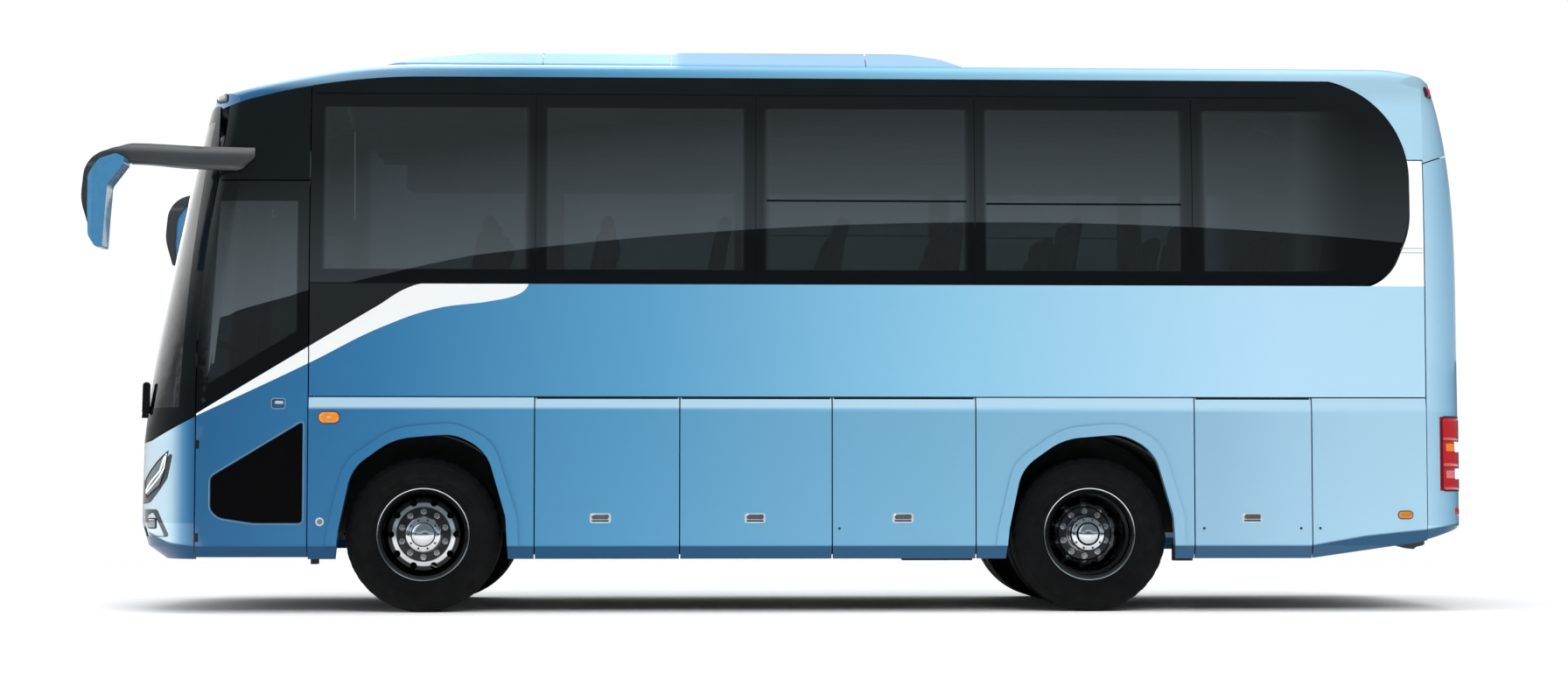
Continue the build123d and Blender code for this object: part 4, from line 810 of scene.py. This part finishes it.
# ---- seats ----
DECK_Z, PLATFORM_Z = 1.360, 0.950
ROWS, ROW_X, ROW_PITCH = 8, 0.060, 0.750
SEAT_SPLITS = 8
SEAM_HALF, SEAM_DEPTH = 0.13, 0.006  # a seam's half width as a share of the cushion's, and its depth


def cushion(centre, half, radius, tilt, crown):
    """A stuffed block with round edges, swelling faces and two seams drawn in across it; tilt leans it about Y."""
    vertices, faces = [], []
    lean, side = math.cos(tilt), math.sin(tilt)
    places = [math.sin((2 * i / SEAT_SPLITS - 1) * math.pi / 2) for i in range(SEAT_SPLITS + 1)]
    for axis in range(3):
        first, second = (k for k in range(3) if k != axis)
        for sign in (-1, 1):
            start = len(vertices)
            for a in places:
                for b in places:
                    unit = [0.0, 0.0, 0.0]
                    unit[axis], unit[first], unit[second] = sign, a, b
                    spot = Vector([unit[k] * half[k] for k in range(3)])
                    core = Vector([max(radius - half[k], min(half[k] - radius, spot[k])) for k in range(3)])
                    reach = spot - core
                    if reach.length > 1e-9:
                        spot = core + reach.normalized() * radius
                    swell = crown * (1 - a ** 2) * (1 - b ** 2)
                    if axis != 1 and abs(abs(unit[1]) - 0.5) < SEAM_HALF:
                        swell -= SEAM_DEPTH
                    spot[axis] += sign * swell
                    vertices.append(centre + Vector((spot.x * lean + spot.z * side, spot.y,
                                                     spot.z * lean - spot.x * side)))
            for i in range(SEAT_SPLITS):
                for j in range(SEAT_SPLITS):
                    a = start + i * (SEAT_SPLITS + 1) + j
                    faces.append((a, a + 1, a + SEAT_SPLITS + 2, a + SEAT_SPLITS + 1))
    return vertices, faces


# squab, back and head pad: place, half size with a share of the place's half width, edge radius, tilt, crown
SEAT_PARTS = ((-0.045, 0.405, (0.205, 1.0, 0.045), 0.040, 0.0, 0.015),
              (0.268, 0.755, (0.042, 1.0, 0.285), 0.036, 0.15, 0.012),
              (0.332, 1.075, (0.036, 0.72, 0.070), 0.032, 0.15, 0.010))


def seat_legs(x, y0, y1, floor_z):
    """Two plinths with a rail across, under a bench."""
    plinths = [prism(round_rect(0.20, 0.30, 0.02, 3), at(x + 0.03, y, floor_z + 0.155), 0.04)
               for y in (y0 + 0.12, y1 - 0.16)]
    rail = prism(round_rect(0.34, 0.045, 0.015, 3), at(x, y0 + 0.03, floor_z + 0.330), y1 - y0 - 0.06)
    return plinths + [rail]


soft_parts, leg_parts = [], []


def bench(x, middles, half_width, y0, y1, floor_z):
    """Places side by side on one pair of plinths."""
    for middle in middles:
        for dx, dz, half, *shape in SEAT_PARTS:
            size = (half[0], half[1] * half_width, half[2])
            soft_parts.append(cushion(at(x + dx, middle, floor_z + dz), size, *shape))
    leg_parts.extend(seat_legs(x, y0, y1, floor_z))


for row in range(ROWS):
    for _, sense in SIDES:
        bench(ROW_X + ROW_PITCH * row, (sense * 0.4775, sense * 0.9275), 0.213,
              *sorted((sense * 0.255, sense * 1.150)), DECK_Z)
bench(WHEELBASE + 1.840, [-0.896 + 0.448 * k for k in range(5)], 0.215, -1.13, 1.13, DECK_Z)
bench(-0.955, [-0.640], 0.232, -0.86, -0.42, PLATFORM_Z)
cushions = piece("seat_cushions", *joined(soft_parts), "seat_fabric", "coach_body", angle=70.0)
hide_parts("seats")
piece("seat_legs", *joined(leg_parts), "chassis_black")

# ---- seals behind the gaps ----
GAPS_X = (0.698, 1.607, 2.565, WHEELBASE - 0.729, WHEELBASE + 0.657, WHEELBASE + 1.405)
GAP_LOW, GAP_HIGH = 0.362, 1.335
FLAP_SEAL, FLAP_SEAL_HALF = (SKIN_Y - 1.1955, 0.005), 0.034
DOOR_FRONT_X, DOOR_REAR_X = -1.275, -0.714
DOOR_SEAL, DOOR_SEAL_HALF = (0.0535, 0.006), 0.026  # how far inside the skin it starts and how thick; half its width


def strip_up(points, half, inwards, thick, sense):
    """An upright strip along (x, z) points, its outer face a distance inside the side skin."""
    vertices = []
    for x, z in points:
        outer = skin_y(z) - inwards
        for dx, y in ((-half, outer), (half, outer), (half, outer - thick), (-half, outer - thick)):
            vertices.append(at(x + dx, sense * y, z))
    return vertices, caps(len(points), 4) + bands(len(points), 4)


middle, half = (DOOR_REAR_X + DOOR_FRONT_X) / 2, (DOOR_REAR_X - DOOR_FRONT_X) / 2
for side, sense in SIDES:
    flaps = [strip_up([(x, GAP_LOW), (x, GAP_HIGH)], FLAP_SEAL_HALF, *FLAP_SEAL, sense) for x in GAPS_X]
    heights = (0.40, 1.0, SILL_Z, 2.3, 2.5, 2.69)
    door = [strip_up([(DOOR_REAR_X, z) for z in heights], DOOR_SEAL_HALF, *DOOR_SEAL, sense),
            strip_up([(middle, 2.685), (middle, 2.730)], half, *DOOR_SEAL, sense)]
    piece(f"flap_seals_{side}", *joined(flaps), "seal_rubber", smooth=False)
    piece(f"door_seals_{side}", *joined(door), "seal_rubber", smooth=False)

# ---- lamps, markers, handles and lines ----
FLANK = Skin("skirt_panels", *FLAP_NODES)
GLAZING = Skin("side_windows", "window_frames")
NOSE = Skin("front_lamps", "front_fascia")
ROOF_EDGE = Skin("roof_shell", "front_fascia")
ARMS = Skin("mirror_arms")
QUARTERS = Skin("rear_quarters")
TAIL = Skin("tail_lamps", "rear_cap", "rear_dome", "rear_quarters")
# the tables below end with how far a piece stands proud, the width of its soft edge and the step of its mesh
HANDLE_X = (1.111, 2.080, 3.010, WHEELBASE + 1.021)  # a handle on each flap
HANDLE_PARTS = (("plate", (0.134, 0.062, 0.016, 4), 0.590, "satin_silver", 0.003, 0.003, 0.02),
                ("grip", (0.112, 0.036, 0.012, 4), 0.596, "chrome", 0.0075, 0.005, 0.015),
                ("slit", (0.108, 0.009, 0.004, 3), 0.572, "trim_black", 0.0036, 0.0, 0.02))
LOCK_Z = 0.524
LOCKS = ((2.610, "luggage_flap_3"), (4.915, "service_flap"), (5.532, "service_flap"), (5.654, None))
# middle, size, corner radius and material of the lens
MARKERS = (((-0.582, 1.218), (0.126, 0.066), 0.032, "lamp_amber"),
           ((6.1985, 0.6075), (0.087, 0.043), 0.019, "marker_orange"))
FOOT_LAMP = (-0.635, 0.568)
WINDOW_BARS = ((2.151, 3.418, 2.590), (3.544, 4.787, 2.575))
CANT_ENDS = (-0.700, 0.693, 2.084, 3.473, 4.858, 5.55)  # where the lines along the cant rail start and end
HEADLAMP = [(-1.587, 1.013), (-1.619, 0.989), (-1.667, 0.946), (-1.722, 0.886), (-1.758, 0.839), (-1.766, 0.809),
            (-1.760, 0.742), (-1.750, 0.716), (-1.690, 0.760), (-1.646, 0.790), (-1.617, 0.864), (-1.603, 0.929)]
DAYTIME = [(-1.596, 0.998), (-1.613, 0.898), (-1.650, 0.842), (-1.679, 0.811), (-1.756, 0.738), (-1.758, 0.770),
           (-1.716, 0.822), (-1.680, 0.856), (-1.648, 0.889), (-1.622, 0.968)]
FOG = [(-1.699, 0.625), (-1.655, 0.557), (-1.616, 0.478), (-1.680, 0.478), (-1.742, 0.480), (-1.744, 0.552),
       (-1.742, 0.606)]
FOG_LENS = [(-1.736, 0.584), (-1.676, 0.584), (-1.677, 0.530), (-1.734, 0.528)]
NOSE_PIECES = (
    ("headlamp_bezel", ring_of(HEADLAMP, 0.007), "trim_black", 0.003, 0.0, 0.02),
    ("headlamp_inside", [rounded_corners(shifted(HEADLAMP, 0.008), 0.006)], "lamp_grey", 0.0015, 0.0, 0.015),
    ("daytime_lamp", ring_of(rounded_corners(DAYTIME, 0.008), 0.009), "lamp_white", 0.004, 0.0, 0.012),
    ("fog_recess", [rounded_corners(FOG, 0.014)], "body_blue", 0.0015, 0.0, 0.02),
    ("fog_bezel", [rounded_corners(shifted(FOG_LENS, -0.007), 0.012)], "trim_black", 0.005, 0.003, 0.015),
    ("fog_lens", [rounded_corners(FOG_LENS, 0.010)], "lamp_grey", 0.009, 0.006, 0.012))
ARM_COVER = [(-1.075, 2.896), (-1.800, 2.902), (-1.900, 2.888), (-2.010, 2.838), (-2.062, 2.740), (-2.080, 2.560),
             (-2.034, 2.390), (-2.020, 2.390), (-2.030, 2.520), (-2.024, 2.715), (-1.960, 2.815), (-1.925, 2.838),
             (-1.835, 2.838), (-1.806, 2.800), (-1.640, 2.794), (-1.160, 2.776), (-1.075, 2.856)]
for side, sense in SIDES:
    flank = sideways(sense)

    def on_flank(name, outlines, material, proud, soft=0.0, step=0.02, body="coach_body", skin=FLANK):
        laid(f"{name}_{side}", outlines, skin, flank, material, body, proud, soft, step)

    for place, flap in zip(HANDLE_X, FLAPS):
        for part, size, height, *rest in HANDLE_PARTS:
            on_flank(f"{flap}_handle_{part}", [round_rect(*size, (place, height))], *rest, f"{flap}_{side}_body")
    for n, (place, flap) in enumerate(LOCKS):
        body = f"{flap}_{side}_body" if flap else "coach_body"
        on_flank(f"lock_{n}", [ngon(16, 0.0085, middle=(place, LOCK_Z))], "trim_black", 0.0025, 0.002, 0.01, body)
        on_flank(f"lock_core_{n}", [ngon(10, 0.0040, middle=(place, LOCK_Z))], "chrome", 0.0032, 0.0, 0.01, body)
    for n, (middle, (wide, tall), radius, material) in enumerate(MARKERS):
        rim = round_rect(wide + 0.012, tall + 0.012, radius + 0.006, 6, middle)
        on_flank(f"marker_base_{n}", [rim], "mirror_grey", 0.003, 0.002)
        on_flank(f"marker_lens_{n}", [round_rect(wide, tall, radius, 6, middle)], material, 0.014, 0.012, 0.012)
    on_flank("marker_bulb", [round_rect(0.030, 0.016, 0.006, 3, (-0.582, 1.219))], "satin_silver", 0.0146, 0.003, 0.01)
    on_flank("foot_lamp_ring", [ngon(28, 0.027, middle=FOOT_LAMP)], "satin_silver", 0.004, 0.003, 0.01)
    on_flank("foot_lamp", [ngon(24, 0.019, middle=FOOT_LAMP)], "lamp_grey", 0.008, 0.006, 0.008)
    for n, (low, high, height) in enumerate(WINDOW_BARS):
        bar = rectangle(low, height - 0.006, high, height + 0.006)
        on_flank(f"window_bar_{n}", [bar], "trim_black", 0.0025, 0.0, 0.25, skin=GLAZING)
    for n, (low, high) in enumerate(zip(CANT_ENDS, CANT_ENDS[1:])):
        line = rectangle(low + 0.008, 3.262, high - 0.008, 3.268)
        on_flank(f"cant_line_{n}", [line], "trim_black", 0.0012, 0.0, 0.3, skin=GLAZING)
    for row in NOSE_PIECES:
        on_flank(*row, skin=NOSE)
    on_flank("mirror_arm_cover", [rounded_corners(ARM_COVER, 0.03)], "arm_grey", 0.012, 0.030, 0.03, skin=ARMS)
    marker = round_rect(0.082, 0.058, 0.018, 4, (-1.285, 3.236))
    on_flank("roof_marker_rim", ring_of(marker, 0.007), "trim_black", 0.005, skin=ROOF_EDGE)
    on_flank("roof_marker", [shifted(marker, 0.007)], "lamp_grey", 0.008, 0.008, skin=ROOF_EDGE)
    for n, height in enumerate((2.300, 2.272)):
        line = rectangle(6.190, height - 0.002, 6.330, height + 0.002)
        on_flank(f"quarter_line_{n}", [line], "line_grey", 0.0006, 0.0, 0.05, skin=QUARTERS)

KICK_LINE = [(-1.318, 0.848), (-0.744, 1.197), (-0.744, 0.557), (-1.050, 0.557), (-1.262, 0.590), (-1.318, 0.640)]
KICK = rounded_corners(KICK_LINE, 0.03)
for name, outlines, material, *sizes in (
        ("door_kick_panel", [shifted(KICK, 0.004)], "panel_black", 0.0025, 0.0, 0.06),
        ("door_kick_edge", [shifted(KICK, -0.008), shifted(KICK, -0.002)], "line_grey", 0.0012, 0.0, 0.06),
        ("door_pull_rim", ring_of(round_rect(0.093, 0.071, 0.018, 4, (-0.899, 1.305)), 0.0075), "line_grey",
         0.0012, 0.0, 0.03),
        ("door_pull", [round_rect(0.058, 0.024, 0.008, 4, (-0.895, 1.313))], "satin_silver", 0.012, 0.004, 0.015)):
    laid(name, outlines, Skin("driver_door"), sideways(-1), material, "driver_door_body", *sizes)
WIPER_LEAN = Vector((0.02, 0, 1))
piece("wiper_spindle", *prism(round_rect(0.046, 0.205, 0.020, 4), at(-1.772, -0.960, 1.345), 0.022, up=WIPER_LEAN),
      "trim_black")

# ---- tail ----
TAIL_PANES = ((0.764, 0.905), (0.917, 1.070), (1.082, 1.226))
TAIL_LENSES = (("turn_lens", "lamp_amber", 1.010, 1.062), ("reverse_lens", "lamp_pink", 0.838, 0.892))
HIGH_LAMP = rounded_corners([(0.020, 3.285), (0.085, 3.275), (0.085, 3.350), (0.016, 3.362)], 0.015)
# bracket under the tail, and feet under the skirt: from, to, underside
BRACKET = [(6.141, 0.425), (6.141, 0.415), (6.207, 0.405), (6.259, 0.391), (6.295, 0.387), (6.314, 0.402),
           (6.355, 0.411), (6.366, 0.420), (6.366, 0.470), (6.250, 0.450)]
FEET = ((-0.700, -0.655, 0.302), (3.010, 3.455, 0.322), (4.735, 4.857, 0.318))
FOOT_TOP = 0.421
CORNER_X, CORNER_Y = 6.44, 1.21  # the side panel's rear edge
for side, sense in SIDES:
    corner = Vector((-0.62, -sense * 0.785, 0)).normalized()  # the lamps are seen across the tail's corner
    across = Vector((-corner.y * sense, corner.x * sense, 0))

    def seen(a, b):
        """a runs round the corner, rearwards and inwards, from the side panel's edge."""
        return at(CORNER_X, sense * CORNER_Y, b) + across * a - corner * 1.5

    def on_tail(name, outlines, material, *sizes):
        laid(f"{name}_{side}", outlines, TAIL, (seen, corner), material, "coach_body", *sizes)

    def lens(name, corners, radius, material, *sizes):
        on_tail(name, [rounded_corners(rectangle(*corners), radius)], material, *sizes)

    for n, (low, high) in enumerate(TAIL_PANES):
        lens(f"tail_lens_{n}", (0.004, low, 0.225, high), 0.02, "lens_red", 0.006, 0.008, 0.025)
    rim = rounded_corners(rectangle(-0.004, 0.756, 0.232, 1.234), 0.03)
    on_tail("tail_lamp_rim", ring_of(rim, 0.012), "lamp_edge", 0.004, 0.0, 0.03)
    for name, material, low, high in TAIL_LENSES:
        lens(name, (0.030, low, 0.120, high), 0.012, material, 0.009, 0.005)
        lens(name + "_white", (0.122, low - 0.006, 0.205, high + 0.010), 0.012, "lamp_white", 0.009, 0.005)
    on_tail("low_reflector", [round_rect(0.060, 0.052, 0.024, 6, (0.160, 0.628))], "lens_red", 0.008, 0.006)
    on_tail("high_lamp", [HIGH_LAMP], "lamp_edge", 0.016, 0.012, 0.015)
    on_tail("high_lamp_core", [rounded_corners(shifted(HIGH_LAMP, 0.012), 0.008)], "lens_red", 0.019, 0.006, 0.015)

    piece(f"tail_bracket_{side}", *prism(BRACKET, at(0, sense * 0.98, 0), sense * 0.09), "mirror_grey",
          slot="chassis_black")
    for n, (low, high, foot) in enumerate(FEET):
        outline = round_rect(high - low, FOOT_TOP - foot, 0.004, 2, ((low + high) / 2, (foot + FOOT_TOP) / 2))
        piece(f"skirt_foot_{n}_{side}", *prism(outline, at(0, sense * 1.09, 0), sense * 0.07), "chassis_black")

# rubber between the tail and the dome over it, a little inside the skin
plan = [(6.345, 1.165), (6.400, 1.150), (6.470, 1.085), (6.530, 0.950), (6.558, 0.600), (6.572, 0.0)]
plan += [(x, -y) for x, y in reversed(plan[:-1])]
SEAM_X, SEAM_Z, SEAM_RISE, SEAM_HALF_TALL = 6.200, 2.796, 0.346, 0.0028
rubber = [at(x, y, SEAM_Z + (x - SEAM_X) * SEAM_RISE + lift) for lift in (-SEAM_HALF_TALL, SEAM_HALF_TALL)
          for x, y in plan]
piece("tail_seam_rubber", rubber, caps(2, len(plan)) + bands(2, len(plan)), "seal_rubber", smooth=False)

# ---- camera, floor, light ----
CAMERA_AT = at(1.584, -18.567, 0.815)
CAMERA_YAW, CAMERA_PITCH = 2.24, 2.95  # degrees, towards the tail and up
IMAGE_WIDTH, FOCAL_PIXELS = 1792, 3151
SENSOR = 36.0

camera = shown("camera", bpy.data.cameras.new("camera"))
camera.location = CAMERA_AT
camera.rotation_euler = (math.radians(90 + CAMERA_PITCH), 0, math.radians(-CAMERA_YAW))
camera.data.sensor_width = SENSOR
camera.data.lens = SENSOR * FOCAL_PIXELS / IMAGE_WIDTH
camera.data.clip_end = 300.0
bpy.context.scene.camera = camera
bpy.context.scene.view_settings.view_transform = "Standard"


# ---- world: a white studio with a dark floor line that the glass reflects ----
HORIZON_TOP = 8.5  # degrees up, at the middle of the arc
HORIZON_AZIMUTH = 6.5  # degrees towards the tail, where the arc is highest
HORIZON_BEND = 0.0212  # degrees of drop for each square degree of azimuth
# angles in degrees and the value at each: the lowest that the horizon falls to ahead and behind, how soft its edge is,
# how much brighter the studio is ahead, and the sky that lights matt surfaces; glow is by degrees above the horizon
RISE_AHEAD, RISE_BEHIND = (-160.0, -85.0, 2.3, 8.5), (-20.0, -60.0, 2.5, 8.5)
BLUR, AHEAD, SOFT_SKY = (-16.0, -50.0, 0.02, 6.0), (-40.0, -92.0, 0.0, 2.1), (6.0, 42.0, 0.10, 1.05)
GLOW = (0.0, 8.0, 0.86, 0.14)
BELOW, BELOW_AHEAD = 0.12, 0.16  # what glossy surfaces see under the horizon


def studio_world():
    world = bpy.data.worlds.new("studio")
    bpy.context.scene.world = world
    world.use_nodes = True
    g = Graph(world.node_tree)
    background = next(node for node in g.tree.nodes if node.type == "BACKGROUND")
    x, y, z = g.node("SeparateXYZ", {0: g.node("TexCoord").outputs["Generated"]}).outputs
    azimuth = g.math("DEGREES", g.math("ARCTAN2", x, g.times(y, -1.0)))
    elevation = g.math("DEGREES", g.math("ARCSINE", z))
    off = g.minus(azimuth, HORIZON_AZIMUTH)
    rise = g.math("MINIMUM", g.between(azimuth, *RISE_AHEAD), g.between(azimuth, *RISE_BEHIND))
    horizon = g.math("MAXIMUM", g.minus(HORIZON_TOP, g.times(off, off, HORIZON_BEND)), rise)
    above = g.minus(elevation, horizon)
    lit = g.math("DIVIDE", above, g.between(azimuth, *BLUR), clamp=True)
    ahead = g.between(azimuth, *AHEAD)
    mirrored = g.plus(g.times(lit, g.plus(g.between(above, *GLOW), ahead)), g.plus(g.times(ahead, BELOW_AHEAD), BELOW))
    # the camera sees plain white, also through glass; glossy surfaces mirror the studio; the rest has the soft sky
    path = g.node("LightPath").outputs
    seen = g.plus(path["Is Camera Ray"], path["Is Transmission Ray"], clamp=True)
    glossy = g.times(path["Is Glossy Ray"], g.minus(1.0, seen))
    rest = g.minus(g.minus(1.0, seen), glossy)
    strength = g.plus(seen, g.plus(g.times(glossy, mirrored), g.times(rest, g.between(elevation, *SOFT_SKY))))
    side_on = g.times(glossy, g.minus(1.0, g.times(ahead, 0.5), clamp=True))
    g.feed(background.inputs["Color"], g.mix(side_on, (1, 1, 1, 1), (0.74, 0.90, 1.0, 1)))
    g.feed(background.inputs["Strength"], strength)


studio_world()

# name, place, what it is aimed at, size, watts
LIGHTS = (("overhead", (0, -0.6, 9.5), (0, 0, 0), (13, 5), 640),
          ("near_side", (4.2, -11.0, 8.6), (2.2, 0, 1.6), (12, 4), 620),
          ("nose_side", (AXLE_X - 9.0, -4.6, 3.2), (AXLE_X - 1.6, -0.6, 1.2), (4, 4), 190),
          ("far_side", (-1.0, 11.0, 8.6), (0, 0, 1.6), (14, 4), 90))
for name, location, target, size, power in LIGHTS:
    data = bpy.data.lights.new(name, "AREA")
    data.shape, data.size, data.size_y, data.energy = "RECTANGLE", size[0], size[1], power
    lamp = shown(name, data)
    lamp.location = location
    lamp.rotation_euler = (Vector(target) - Vector(location)).to_track_quat("-Z", "Y").to_euler()
    lamp.visible_glossy = False

FLOOR_FULL, FLOOR_CLEAR = 7.5, 11.0  # the floor fades into the white background between these distances
FLOOR_HALF = 30.0


def floor():
    """A pale floor that keeps the vehicle's shadow and fades out into the background."""
    s = Surface("floor", Roughness=0.9, Specular_IOR_Level=0.1)
    x, y, _ = s.axes()
    away = s.math("SQRT", s.plus(s.times(y, y), s.times(x, x, 0.5)))
    s.set(Base_Color=s.patches(0.8, grey(0.93), grey(0.95)), Alpha=s.between(away, FLOOR_CLEAR, FLOOR_FULL))
    mesh = bpy.data.meshes.new("floor")
    corners = rectangle(-FLOOR_HALF, -FLOOR_HALF, FLOOR_HALF, FLOOR_HALF)
    mesh.from_pydata([(x, y, 0) for x, y in corners], [], [(0, 1, 2, 3)])
    mesh.materials.append(s.material)
    shown("floor", mesh)


floor()
